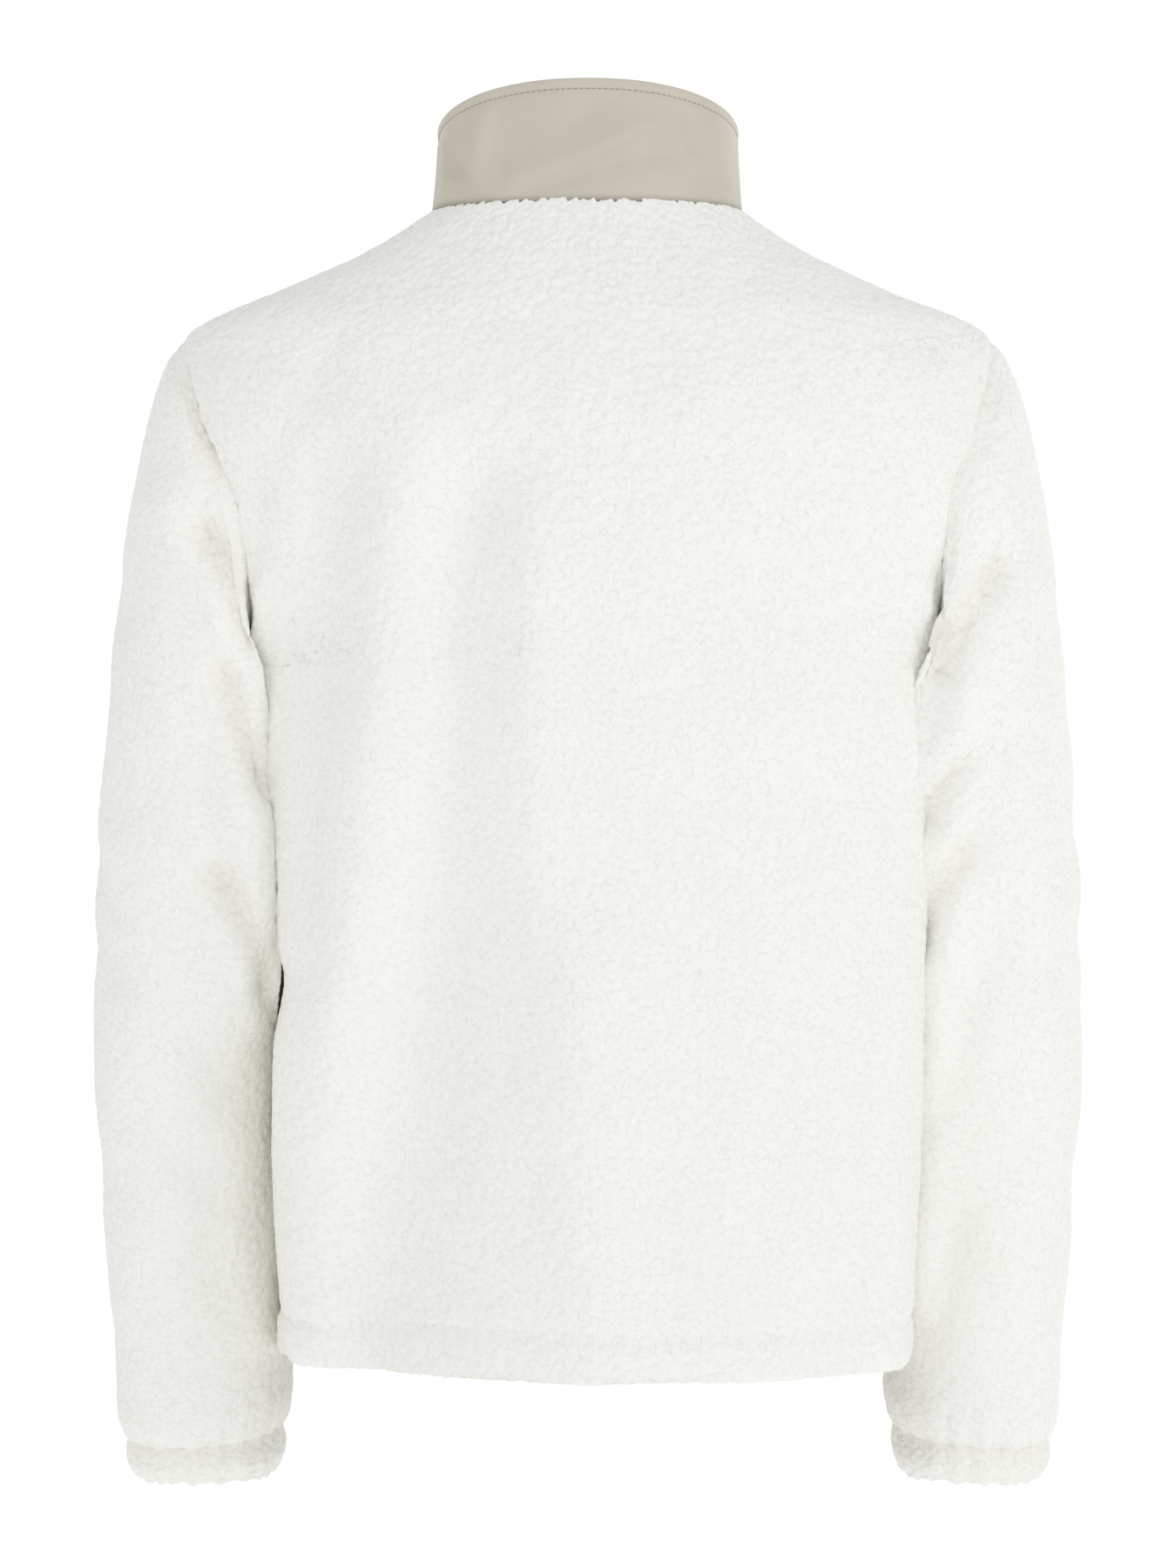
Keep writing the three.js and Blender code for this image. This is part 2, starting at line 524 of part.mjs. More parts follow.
// The collar's lower edge runs along the necks of the left front, the back and the right front.
function collar(leftNeck, backNeck, rightNeck) {
  const neck = [...leftNeck].reverse().concat(backNeck.slice(1), rightNeck.slice(1));
  const foot = neck.map((p) => p.clone().addScaledVector(intoNeck(p), COLLAR_INSET).setZ(p.z + SEAM_GAP));
  const middle = COLLAR_TOP.middleY;
  const frontAngle = Math.acos(ZIP_HALF_GAP / COLLAR_TOP.halfWidth);
  const outer = steps(COLLAR_ROWS).map((t) => foot.map((p, j) => {
    const reach = p.y > middle ? body.back(BACK_NECK_Z) - middle : body.front(FRONT_NECK_Z) + middle;
    let angle = Math.atan2((p.y - middle) / reach, p.x / reachAt(1, 0));
    if (j === 0) angle = -frontAngle;
    if (j === foot.length - 1) angle = frontAngle - Math.PI;
    return p.clone().lerp(collarTopPoint(angle), t);
  }));
  const normals = gridNormals(outer, false, 1);
  const inner = outer.map((line, i) => line.map((p, j) => {
    if (i === 0) return p.clone().addScaledVector(intoNeck(p), COLLAR_WALL);
    const inward = normals[i][j].clone().negate();
    if (j === 0 || j === line.length - 1) inward.setX(0);
    return p.clone().addScaledVector(inward.normalize(), COLLAR_WALL);
  }));
  return { inner, mesh: piece("collar", wallGeometry(outer, inner, false, 1), woven) };
}

// ---------------------------------------------------------------- zip
// Where a line of points passes a distance to one side of the zip, measured from the side's own edge.
function besideZip(line, reach) {
  const [edge, next] = [line.at(-1), line.at(-2)];
  const share = (reach - Math.abs(edge.x)) / (Math.abs(next.x) - Math.abs(edge.x));
  return edge.clone().lerp(next, share);
}

// The lines that one side's tape lies on, up the inside of the front and of the collar.
function tapeLines(front, collarSide) {
  const onCollar = collarSide.slice(1);
  const top = onCollar.at(-1).map((p, j) => p.clone().lerp(onCollar.at(-2)[j], 0.1));
  return [...front, ...onCollar.slice(0, -1), top];
}

function zipTape(name, side, lines) {
  const outer = lines.map((line) => [TAPE.innerEdge, ZIP_HALF_GAP, TAPE.outerEdge].map((reach, j) => {
    const p = j === 0 ? line.at(-1).clone().setX(side * reach) : besideZip(line, reach).setX(side * reach);
    return p.setY(p.y + SEAM_GAP + TAPE.slack);
  }));
  const inner = outer.map((line) => line.map((p) => p.clone().setY(p.y + TAPE_WALL)));
  return piece(name, wallGeometry(outer, inner, false, side), tapeCloth);
}

// The depth of the tape's front face in the middle of the zip, at a height.
function tapeFaceAt(lines, z) {
  const edge = lines.map((line) => line.at(-1));
  const i = THREE.MathUtils.clamp(edge.findIndex((p) => p.z > z), 1, edge.length - 1);
  const share = (z - edge[i - 1].z) / (edge[i].z - edge[i - 1].z);
  return mix(edge[i - 1].y, edge[i].y, share) + SEAM_GAP + TAPE.slack;
}

// A strip up the middle of the zip, in front of both tapes.
function zipStrip(name, lines, { halfAcross, depth, fromZ, toZ }) {
  const between = lines.map((line) => line.at(-1).z).filter((z) => z > fromZ + 1 && z < toZ - 1);
  const layer = (forward) => [fromZ, ...between, toZ].map((z) => [-halfAcross, halfAcross].map((x) => (
    new THREE.Vector3(x, tapeFaceAt(lines, z) - forward, z))));
  return piece(name, wallGeometry(layer(SEAM_GAP + depth), layer(SEAM_GAP), false, 1), teethPlastic);
}

// A closed solid in manifold-3d from a three.js geometry, and back again.
function solidOf(geometry) {
  const open = geometry.index ? geometry.toNonIndexed() : geometry;
  const seen = new Map();
  const vertices = [];
  const corners = [];
  const position = open.getAttribute("position");
  for (let i = 0; i < position.count; i += 1) {
    const point = [position.getX(i), position.getY(i), position.getZ(i)].map(rounded);
    const key = point.join();
    if (!seen.has(key)) {
      seen.set(key, vertices.length / 3);
      vertices.push(...point);
    }
    corners.push(seen.get(key));
  }
  const mesh = new wasm.Mesh({
    numProp: 3, vertProperties: new Float32Array(vertices), triVerts: new Uint32Array(corners),
  });
  return new wasm.Manifold(mesh);
}

function geometryOf(solid) {
  const mesh = solid.getMesh();
  const geometry = new THREE.BufferGeometry();
  geometry.setAttribute("position", new THREE.BufferAttribute(new Float32Array(mesh.vertProperties), 3));
  geometry.setIndex(new THREE.BufferAttribute(new Uint32Array(mesh.triVerts), 1));
  geometry.computeVertexNormals();
  return geometry;
}

const placedBox = (x, y, z, middle) => new THREE.BoxGeometry(x, y, z).translate(...middle);

// The slider's body and its bridge, in one casting. Its front face is at y = 0.
function sliderGeometry() {
  const { halfWidth: w, top, bottom, depth, chinWidth } = SLIDER;
  const outline = new THREE.Shape();
  outline.moveTo(-w, top - 2);
  outline.absarc(-w + 2, top - 2, 2, Math.PI, Math.PI / 2, true);
  outline.lineTo(w - 2, top);
  outline.absarc(w - 2, top - 2, 2, Math.PI / 2, 0, true);
  outline.lineTo(w, 3);
  outline.lineTo(chinWidth + 1, bottom);
  outline.lineTo(-chinWidth - 1, bottom);
  outline.lineTo(-w, 3);
  outline.closePath();
  const plate = new THREE.ExtrudeGeometry(outline, { depth, bevelEnabled: false, curveSegments: 6 });
  plate.rotateX(Math.PI / 2); // the outline's up is now +Z and its depth runs to +Y
  plate.scale(1, -1, 1);
  const arch = new THREE.Shape();
  const { top: high, bottom: low, bar, reach } = BRIDGE;
  arch.moveTo(-0.5, low);
  arch.lineTo(reach, low);
  arch.quadraticCurveTo(reach + bar, low, reach + bar, low + bar);
  arch.lineTo(reach + bar, high - bar);
  arch.quadraticCurveTo(reach + bar, high, reach, high);
  arch.lineTo(-0.5, high);
  arch.lineTo(-0.5, high - bar);
  arch.lineTo(reach, high - bar);
  arch.lineTo(reach, low + bar);
  arch.lineTo(-0.5, low + bar);
  arch.closePath();
  const bridge = new THREE.ExtrudeGeometry(arch, {
    depth: 2 * BRIDGE.halfWidth, bevelEnabled: false, curveSegments: 4,
  });
  const facing = new THREE.Matrix4().makeBasis(
    new THREE.Vector3(0, -1, 0), new THREE.Vector3(0, 0, 1), new THREE.Vector3(-1, 0, 0),
  );
  bridge.applyMatrix4(facing).translate(BRIDGE.halfWidth, 0, 0);
  return geometryOf(solidOf(turnedOut(plate)).add(solidOf(turnedOut(bridge))));
}

// Turns a geometry's faces outwards if a mirroring has turned them in.
function turnedOut(geometry) {
  const open = geometry.index ? geometry.toNonIndexed() : geometry;
  const p = open.getAttribute("position");
  const corner = (i) => new THREE.Vector3().fromBufferAttribute(p, i);
  let volume = 0;
  for (let i = 0; i < p.count; i += 3) volume += corner(i).dot(corner(i + 1).cross(corner(i + 2)));
  if (volume < 0) {
    for (let i = 0; i < p.count; i += 3) {
      const [b, c] = [corner(i + 1), corner(i + 2)];
      p.setXYZ(i + 1, c.x, c.y, c.z);
      p.setXYZ(i + 2, b.x, b.y, b.z);
    }
  }
  return open;
}

// The pull tab hangs from its bar, which lies in the bridge and turns about its own middle, at z = pivotZ.
function pullGeometry() {
  const { halfWidth: w, slot, thick, slotEnd, length, pivotZ, bar } = PULL;
  const outline = new THREE.Shape();
  outline.moveTo(-w, pivotZ + bar);
  outline.lineTo(w, pivotZ + bar);
  outline.lineTo(w - 0.7, slotEnd - 4);
  outline.lineTo(w + 0.4, pivotZ - length + 3);
  outline.absarc(w - 2.6, pivotZ - length + 3, 3, 0, -Math.PI / 2, true);
  outline.lineTo(-w + 2.6, pivotZ - length);
  outline.absarc(-w + 2.6, pivotZ - length + 3, 3, -Math.PI / 2, -Math.PI, true);
  outline.lineTo(-w + 0.7, slotEnd - 4);
  outline.closePath();
  const hole = new THREE.Path();
  hole.moveTo(-slot, pivotZ - bar);
  hole.lineTo(-slot, slotEnd);
  hole.lineTo(slot, slotEnd);
  hole.lineTo(slot, pivotZ - bar);
  hole.closePath();
  outline.holes.push(hole);
  const plate = new THREE.ExtrudeGeometry(outline, { depth: thick, bevelEnabled: false, curveSegments: 6 });
  plate.rotateX(Math.PI / 2).scale(1, -1, 1);
  return turnedOut(plate);
}

// ---------------------------------------------------------------- the jacket
const jacket = new THREE.Group();
const back = backPanel();
const frontLeft = frontPanel("front_left", 1);
const frontRight = frontPanel("front_right", -1);
const stand = collar(frontLeft.outer.at(-1), back.outer.at(-1), frontRight.outer.at(-1));
jacket.add(back.mesh, frontLeft.mesh, frontRight.mesh, stand.mesh);
jacket.add(sleeve("sleeve_left", 1, SLEEVE_FOLDS.left), sleeve("sleeve_right", -1, SLEEVE_FOLDS.right));
jacket.add(cuff("cuff_left", 1), cuff("cuff_right", -1));

const leftTape = tapeLines(frontLeft.inner, stand.inner.map((line) => line.slice(0, 2).reverse()));
const rightTape = tapeLines(frontRight.inner, stand.inner.map((line) => line.slice(-2)));
const sliderZ = leftTape.at(-1).at(-1).z - SLIDER.top - 1;
jacket.add(zipTape("zip_tape_left", 1, leftTape), zipTape("zip_tape_right", -1, rightTape));
jacket.add(zipStrip("zip_chain", leftTape, {
  ...CHAIN, fromZ: BOX.topZ + SEAM_GAP, toZ: sliderZ + SLIDER.bottom - SEAM_GAP,
}));
jacket.add(zipStrip("zip_box", leftTape, { ...BOX, fromZ: BOX.bottomZ, toZ: BOX.topZ }));

const sliderFace = tapeFaceAt(leftTape, sliderZ) - SEAM_GAP - SLIDER.depth;
const slider = piece("zip_slider", sliderGeometry(), sliderMetal);
slider.position.set(0, sliderFace, sliderZ);
const pull = piece("zip_pull", pullGeometry(), sliderMetal);
pull.position.set(0, sliderFace - BRIDGE.reach / 2 - PULL.thick / 2, sliderZ);
jacket.add(slider, pull);

export default jacket;
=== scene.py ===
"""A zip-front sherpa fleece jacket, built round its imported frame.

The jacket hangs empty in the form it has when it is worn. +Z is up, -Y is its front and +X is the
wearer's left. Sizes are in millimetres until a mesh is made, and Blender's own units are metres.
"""

from __future__ import annotations

import logging
import math
from dataclasses import dataclass, field
from enum import Enum
from typing import NamedTuple

import bmesh
import bpy
import numpy as np
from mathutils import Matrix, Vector


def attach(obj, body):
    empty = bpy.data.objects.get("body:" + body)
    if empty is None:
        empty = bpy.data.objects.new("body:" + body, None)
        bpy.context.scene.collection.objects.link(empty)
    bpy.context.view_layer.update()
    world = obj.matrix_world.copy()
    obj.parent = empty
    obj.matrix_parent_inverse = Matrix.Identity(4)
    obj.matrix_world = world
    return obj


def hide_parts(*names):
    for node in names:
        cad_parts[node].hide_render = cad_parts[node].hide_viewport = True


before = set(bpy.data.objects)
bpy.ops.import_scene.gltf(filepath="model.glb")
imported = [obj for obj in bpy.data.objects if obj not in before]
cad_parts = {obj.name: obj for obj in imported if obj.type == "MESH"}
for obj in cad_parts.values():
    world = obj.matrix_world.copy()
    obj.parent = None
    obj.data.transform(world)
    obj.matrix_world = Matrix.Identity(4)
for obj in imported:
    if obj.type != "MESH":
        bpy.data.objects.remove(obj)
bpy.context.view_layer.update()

Array = np.ndarray
Pair = tuple[float, float]
Triple = tuple[float, float, float]
Material = bpy.types.Material
Object = bpy.types.Object
Socket = bpy.types.NodeSocket
Tree = bpy.types.NodeTree

LOG = logging.getLogger("jacket")
MM = 0.001
SEAM_GAP = 0.3
HEM_Z = -655.0
ARMPIT_Z = -262.0
SHOULDER_TIP_Z = -69.0
BACK_NECK_Z = -1.0
FRONT_NECK_Z = -58.0
ZIP_HALF_GAP = 7.0
HEM_DEPTH = 28.0
CLOTH_BODY = "jacket"
PULL_BODY = "pull_tab"
COARSE = 4  # the inside of the cloth has one face for this many across on the outside
THREAD_STAND = 0.1  # how far a stitch lies above the cloth
FOLD_END = 1.5  # how far a fold fades out past its ends, in half widths
CUT_EDGE = math.radians(56)  # cloth that turns by more than this has a crisp edge
HARD_EDGE = math.radians(35)  # as for cloth, on the zip's hard pieces


class Side(Enum):
    """The wearer's left or right."""

    LEFT = 1
    RIGHT = -1


class Facing(Enum):
    """The back or front of the jacket."""

    BACK = 1
    FRONT = -1


class Slot(Enum):
    """The record's material slots."""

    SHERPA = "sherpa"
    WOVEN = "woven"
    TAPE = "zip_tape"
    TEETH = "zip_teeth"
    METAL = "zip_metal"


def smoothstep(x: Array | float, low: float, high: float) -> Array:
    """Rises smoothly from 0 at low to 1 at high."""
    t = np.clip((np.asarray(x, float) - low) / (high - low), 0, 1)
    return t * t * (3 - 2 * t)


def mix(a: Array | float, b: Array | float, t: Array | float) -> Array:
    """Goes from a at 0 to b at 1."""
    return a + (b - a) * t


def signed_power(x: Array, power: float | Array) -> Array:
    """Raises the size of x to a power and keeps its sign."""
    return np.sign(x) * np.abs(x) ** power


class SmoothTable:
    """Smooth functions through the columns of a short table, with no overshoot between rows."""

    def __init__(self, names: tuple[str, ...], *rows: tuple[float, ...]) -> None:
        """Works out the slopes at each row.

        Args:
            names: the columns after the first one, which is what they are read by.
            rows: the table's rows, in rising order.
        """
        table = np.array(rows, float)
        self.knots = table[:, 0]
        self.values = dict(zip(names, table[:, 1:].T))
        self.slopes = {name: self._slopes(column) for name, column in self.values.items()}

    def _slopes(self, column: Array) -> Array:
        """The slope at each row: the harmonic mean of those beside it, or none at a peak.

        Args:
            column: the column's values.

        Returns:
            One slope for each of them.
        """
        secant = np.diff(column) / np.diff(self.knots)
        before, after = secant[:-1], secant[1:]
        turn = before * after <= 0
        total = np.where(turn, 1, before + after)
        inner = np.where(turn, 0, 2 * before * after / total)
        return np.concatenate([secant[:1], inner, secant[-1:]])

    def __call__(self, name: str, x: Array | float) -> Array:
        """Reads a column.

        Args:
            name: the column.
            x: where to read it.

        Returns:
            Its values there, the same shape as x.
        """
        x = np.clip(np.asarray(x, float), self.knots[0], self.knots[-1])
        i = np.clip(np.searchsorted(self.knots, x, side="right") - 1, 0, len(self.knots) - 2)
        span = self.knots[i + 1] - self.knots[i]
        t = (x - self.knots[i]) / span
        value, slope = self.values[name], self.slopes[name]
        rise = t * t * (3 - 2 * t)
        bend = slope[i] * t * (1 - t) ** 2 - slope[i + 1] * t * t * (1 - t)
        return mix(value[i], value[i + 1], rise) + span * bend


class Fold(NamedTuple):
    """A soft line across the cloth, seen from behind or in front. Its ends fade out."""

    from_x: float
    from_z: float
    to_x: float
    to_z: float
    half_width: float
    depth: float  # negative in a trough
    bow: float = 0.0  # how far its middle bends to one side
    lean: float = 0.0  # above 0, its one flank is steeper than the other
    spread: float = 0.0  # how much wider it is at its far end, as a share

    def lift(self, x: Array, z: Array) -> Array:
        """How far the fold lifts the cloth at some points.

        Args:
            x: across, from the middle to the wearer's left.
            z: their heights.

        Returns:
            The lift at each.
        """
        dx, dz = self.to_x - self.from_x, self.to_z - self.from_z
        length = math.hypot(dx, dz)
        along = ((x - self.from_x) * dx + (z - self.from_z) * dz) / length
        off = ((x - self.from_x) * dz - (z - self.from_z) * dx) / length
        share = np.clip(along / length, 0, 1)
        off = off - 4 * self.bow * share * (1 - share)
        width = self.half_width * (1 + self.lean * np.tanh(off / self.half_width))
        width = width * (1 + self.spread * share)
        past = np.maximum(0, np.maximum(-along, along - length))
        past = past / (FOLD_END * self.half_width)
        return self.depth * np.exp(-((off / width) ** 2) - past ** 2)


def fold_lift(folds: tuple[Fold, ...], x: Array, z: Array) -> Array:
    """How far all of the folds together lift the cloth at some points."""
    return sum((fold.lift(x, z) for fold in folds), np.zeros_like(x))


def facing_lift(back: tuple[Fold, ...], front: tuple[Fold, ...], grid: Array,
                facing: Array) -> Array:
    """How far the folds behind and in front lift a piece that goes round the wearer.

    Args:
        back: the folds seen from behind.
        front: the folds seen from in front.
        grid: the points of the piece.
        facing: above 0 where it faces back.

    Returns:
        The lift at each point.
    """
    x, z = grid[..., 0], grid[..., 2]
    return np.where(facing > 0, fold_lift(back, x, z), fold_lift(front, x, z))


def grid_normals(grid: Array, closed: bool, sign: int) -> Array:
    """The unit normals of a grid of points.

    Args:
        grid: rows by columns by 3.
        closed: whether the last column is followed by the first.
        sign: 1 or -1, to turn them all.

    Returns:
        An array of the grid's shape.
    """
    if closed:
        across = np.roll(grid, -1, axis=1) - np.roll(grid, 1, axis=1)
    else:
        across = np.gradient(grid, axis=1)
    up = np.gradient(grid, axis=0)
    return sign * unit(np.cross(across, up))


def running_length(grid: Array, axis: int) -> Array:
    """How far each point of a grid is from the first one, along its row or column.

    Args:
        grid: rows by columns by 3.
        axis: 0 to go up the columns, 1 to go along the rows.

    Returns:
        Rows by columns of lengths.
    """
    steps = np.linalg.norm(np.diff(grid, axis=axis), axis=2)
    pad = [(0, 0), (0, 0)]
    pad[axis] = (1, 0)
    return np.cumsum(np.pad(steps, pad), axis=axis)


def line_lengths(points: Array) -> Array:
    """How far each point of a line is from its first one, along the line."""
    return np.concatenate([[0], np.cumsum(np.linalg.norm(np.diff(points, axis=0), axis=1))])


def read_line(wanted: Array, lengths: Array, values: Array) -> Array:
    """Reads the vectors along a line at the wanted lengths."""
    return np.stack([np.interp(wanted, lengths, values[:, k]) for k in range(3)], axis=1)


def evenly(points: Array, count: int) -> Array:
    """Divides a line of points into equal lengths."""
    lengths = line_lengths(points)
    return read_line(np.linspace(0, lengths[-1], count + 1), lengths, points)


def unit(vectors: Array) -> Array:
    """Vectors of length 1 in the same directions, along the last axis."""
    return vectors / np.maximum(np.linalg.norm(vectors, axis=-1, keepdims=True), 1e-9)


def edge_loop(grid: Array) -> Array:
    """The entries round the edge of an open grid, once round."""
    return np.concatenate([grid[0, :-1], grid[:-1, -1], grid[-1, :0:-1], grid[:0:-1, 0]])


def grid_quads(index: Array, closed: bool = False) -> Array:
    """The faces of a grid of vertices.

    Args:
        index: the vertices' numbers, rows by columns.
        closed: whether the last column is followed by the first.

    Returns:
        Four corners a row.
    """
    after = np.roll(index, -1, axis=1)
    if not closed:
        index, after = index[:, :-1], after[:, :-1]
    return np.stack([index[:-1], after[:-1], after[1:], index[1:]], axis=2).reshape(-1, 4)


# ---------------------------------------------------------------- the form under the cloth
class Row(NamedTuple):
    """A row of a body panel: its heights at the side and middle, and its turn on the armhole."""

    side_z: float
    middle_z: float
    turn: float | None


@dataclass(frozen=True)
class BodyForm:
    """The worn shape of the jacket's body, as sections that are ellipses squared a little."""

    sections: SmoothTable = SmoothTable(
        ("back", "front", "square"),
        (-700, 123, 133, 2.6), (HEM_Z, 124, 134, 2.6), (-560, 127, 138, 2.75),
        (-400, 129, 143, 2.8), (-310, 131, 143, 2.75), (ARMPIT_Z, 131, 141, 2.4),
        (-225, 131, 137, 2.08), (-195, 130, 133, 2.02), (-165, 127, 128, 2.05),
        (-128, 121.5, 119, 2.2),
        (-95, 112, 107, 2.2), (SHOULDER_TIP_Z, 101, 97, 2.2), (-58, 96, 92, 2.2),
        (-40, 86, 73, 2.2), (-20, 74, 48, 2.2), (0, 62, 22, 2.2),
    )
    reaches: SmoothTable = SmoothTable(
        ("left", "right"),
        (-700, 178, 179), (HEM_Z, 178, 181), (-576, 176.5, 184.5), (-426, 178.5, 188),
        (-326, 181.5, 190.5), (-290, 184.5, 193.5), (ARMPIT_Z, 190.5, 199), (-240, 203, 212),
        (-215, 223, 232), (-182, 242, 250), (-150, 249, 254), (-130, 249.5, 252.5),
        (-106, 247, 248), (-86.5, 239.5, 239.5), (SHOULDER_TIP_Z, 228, 227), (-46.5, 180, 175),
        (-26.5, 134, 131.5), (-6.5, 101, 98.5), (0, 91, 90),
    )
    armhole_y: float = -1.0
    armhole_back: float = 79.0
    armhole_front: float = 81.0
    armhole_blunt: float = 0.1
    row_sag: float = 2.0
    row_samples: int = 500

    @property
    def armhole_z(self) -> float:
        """The height of the middle of the armhole."""
        return (SHOULDER_TIP_Z + ARMPIT_Z) / 2

    def reach(self, side: Side, z: Array | float) -> Array:
        """How far the body goes to one side at a height."""
        return self.reaches(side.name.lower(), z)

    def depth(self, facing: Facing, z: Array | float) -> Array:
        """How far the body goes behind or in front of the shoulder seams at a height."""
        return self.sections(facing.name.lower(), z)

    def armhole_point(self, side: Side, facing: Facing, turn: Array | float) -> Array:
        """The armhole's points.

        Args:
            side: the wearer's left or right.
            facing: its back or front half.
            turn: degrees, 0 at the shoulder tip and 180 at the armpit.

        Returns:
            The points, with x, y and z along the last axis.
        """
        c, s = np.cos(np.radians(turn)), np.sin(np.radians(turn))
        furthest = self.armhole_back if facing is Facing.BACK else self.armhole_front
        z = self.armhole_z + (SHOULDER_TIP_Z - ARMPIT_Z) / 2 * c
        y = np.maximum(furthest * s * (1 - self.armhole_blunt * c), SEAM_GAP / 2)
        n = self.sections("square", z)
        x = self.reach(side, z) * (1 - np.minimum(1, y / self.depth(facing, z)) ** n) ** (1 / n)
        return np.stack([side.value * x, facing.value * y, z], axis=-1)

    def side_reach(self, side: Side, y: Array, z: Array) -> Array:
        """How far the body goes to one side at a depth and height.

        Args:
            side: the wearer's left or right.
            y: the depths, above 0 behind.
            z: the heights.

        Returns:
            The reach at each.
        """
        n = self.sections("square", z)
        depth = np.where(y > 0, self.depth(Facing.BACK, z), self.depth(Facing.FRONT, z))
        return self.reach(side, z) * np.maximum(0, 1 - np.abs(y / depth) ** n) ** (1 / n)

    def to_armhole(self, seam: Array) -> Array:
        """The way from each point of a seam to the middle of its armhole, seen from the side."""
        away = np.array([0, self.armhole_y, self.armhole_z]) - seam * [0, 1, 1]
        return unit(away) * smoothstep(seam[:, 2], ARMPIT_Z + 12, ARMPIT_Z + 50)[:, None]

    def rows(self, middles: Triple, counts: tuple[int, int, int]) -> list[Row]:
        """The rows of a panel from the hem to the neck.

        Args:
            middles: their heights in the middle, at the armpit, the shoulder tip and the neck.
            counts: how many there are beside the body, the armhole and the shoulder.

        Returns:
            The rows in order.
        """
        at_armpit, at_tip, at_neck = middles
        found = [
            Row(mix(HEM_Z, ARMPIT_Z, t), mix(HEM_Z, at_armpit, t), None)
            for t in np.linspace(0, 1, counts[0] + 1)[:-1]
        ]
        for share in np.linspace(0, 1, counts[1] + 1):
            turn = 180 * (1 - share)
            rise = (SHOULDER_TIP_Z - ARMPIT_Z) / 2 * math.cos(math.radians(turn))
            side_z = self.armhole_z + rise
            found.append(Row(side_z, mix(at_armpit, at_tip, share), turn))
        for share in np.linspace(0, 1, counts[2] + 1)[1:]:
            found.append(Row(mix(SHOULDER_TIP_Z, 0, share), mix(at_tip, at_neck, share), None))
        return found

    def half_row(self, row: Row, side: Side, facing: Facing) -> Array:
        """A half row from the side to the middle, as closely spaced points.

        Args:
            row: the row.
            side: the wearer's left or right.
            facing: its back or front half.

        Returns:
            The points, from the side to the middle.
        """
        start = 0.0
        first = None
        if row.turn:
            first = self.armhole_point(side, facing, row.turn)
            share = abs(first[0]) / self.reach(side, row.side_z)
            start = math.acos(min(1, share ** (self.sections("square", row.side_z) / 2)))
        angle = np.linspace(start, math.pi / 2, self.row_samples + 1)
        s0 = math.sin(start)
        climb = ((np.sin(angle) - s0) / (1 - s0)) ** self.row_sag
        z = mix(row.side_z, row.middle_z, climb)
        n = self.sections("square", z)
        power = 2 / self.sections("square", row.side_z)
        x = self.reach(side, row.side_z) * np.maximum(0, np.cos(angle)) ** power
        inside = np.maximum(0, 1 - (x / self.reach(side, z)) ** n)
        y = np.maximum(self.depth(facing, z) * inside ** (1 / n), SEAM_GAP / 2)
        points = np.stack([side.value * x, facing.value * y, z], axis=1)
        if first is not None:
            points[0] = first
        return points


FORM = BodyForm()


# ---------------------------------------------------------------- cloth as meshes
class Rim(NamedTuple):
    """How far the cloth's edge stands out beyond the edge of its outer face, on each side."""

    low: float = 0.0
    high: float = 0.0
    first: float = 0.0
    last: float = 0.0


@dataclass
class Skin:
    """The vertices of a shell as they are gathered, each with the values that it carries."""

    rows: list[Array] = field(default_factory=list)
    count: int = 0

    def add(self, points: Array, rest: Array, *shares: Array | float) -> Array:
        """Adds a grid or a line of vertices.

        Args:
            points: where they are.
            rest: where they are on the unfolded cloth.
            shares: for each or for all, how much the pile may lift it, how much painted shade
                darkens it in a fold, seam or gap, and whether there is pile on it.

        Returns:
            Their numbers, in the shape of the grid or line.
        """
        shape = points.shape[:-1]
        columns = [np.broadcast_to(share, shape)[..., None] for share in shares]
        table = np.concatenate([points, rest, *columns], axis=-1)
        self.rows.append(table.reshape(-1, table.shape[-1]))
        numbers = self.count + np.arange(math.prod(shape)).reshape(shape)
        self.count += numbers.size
        return numbers


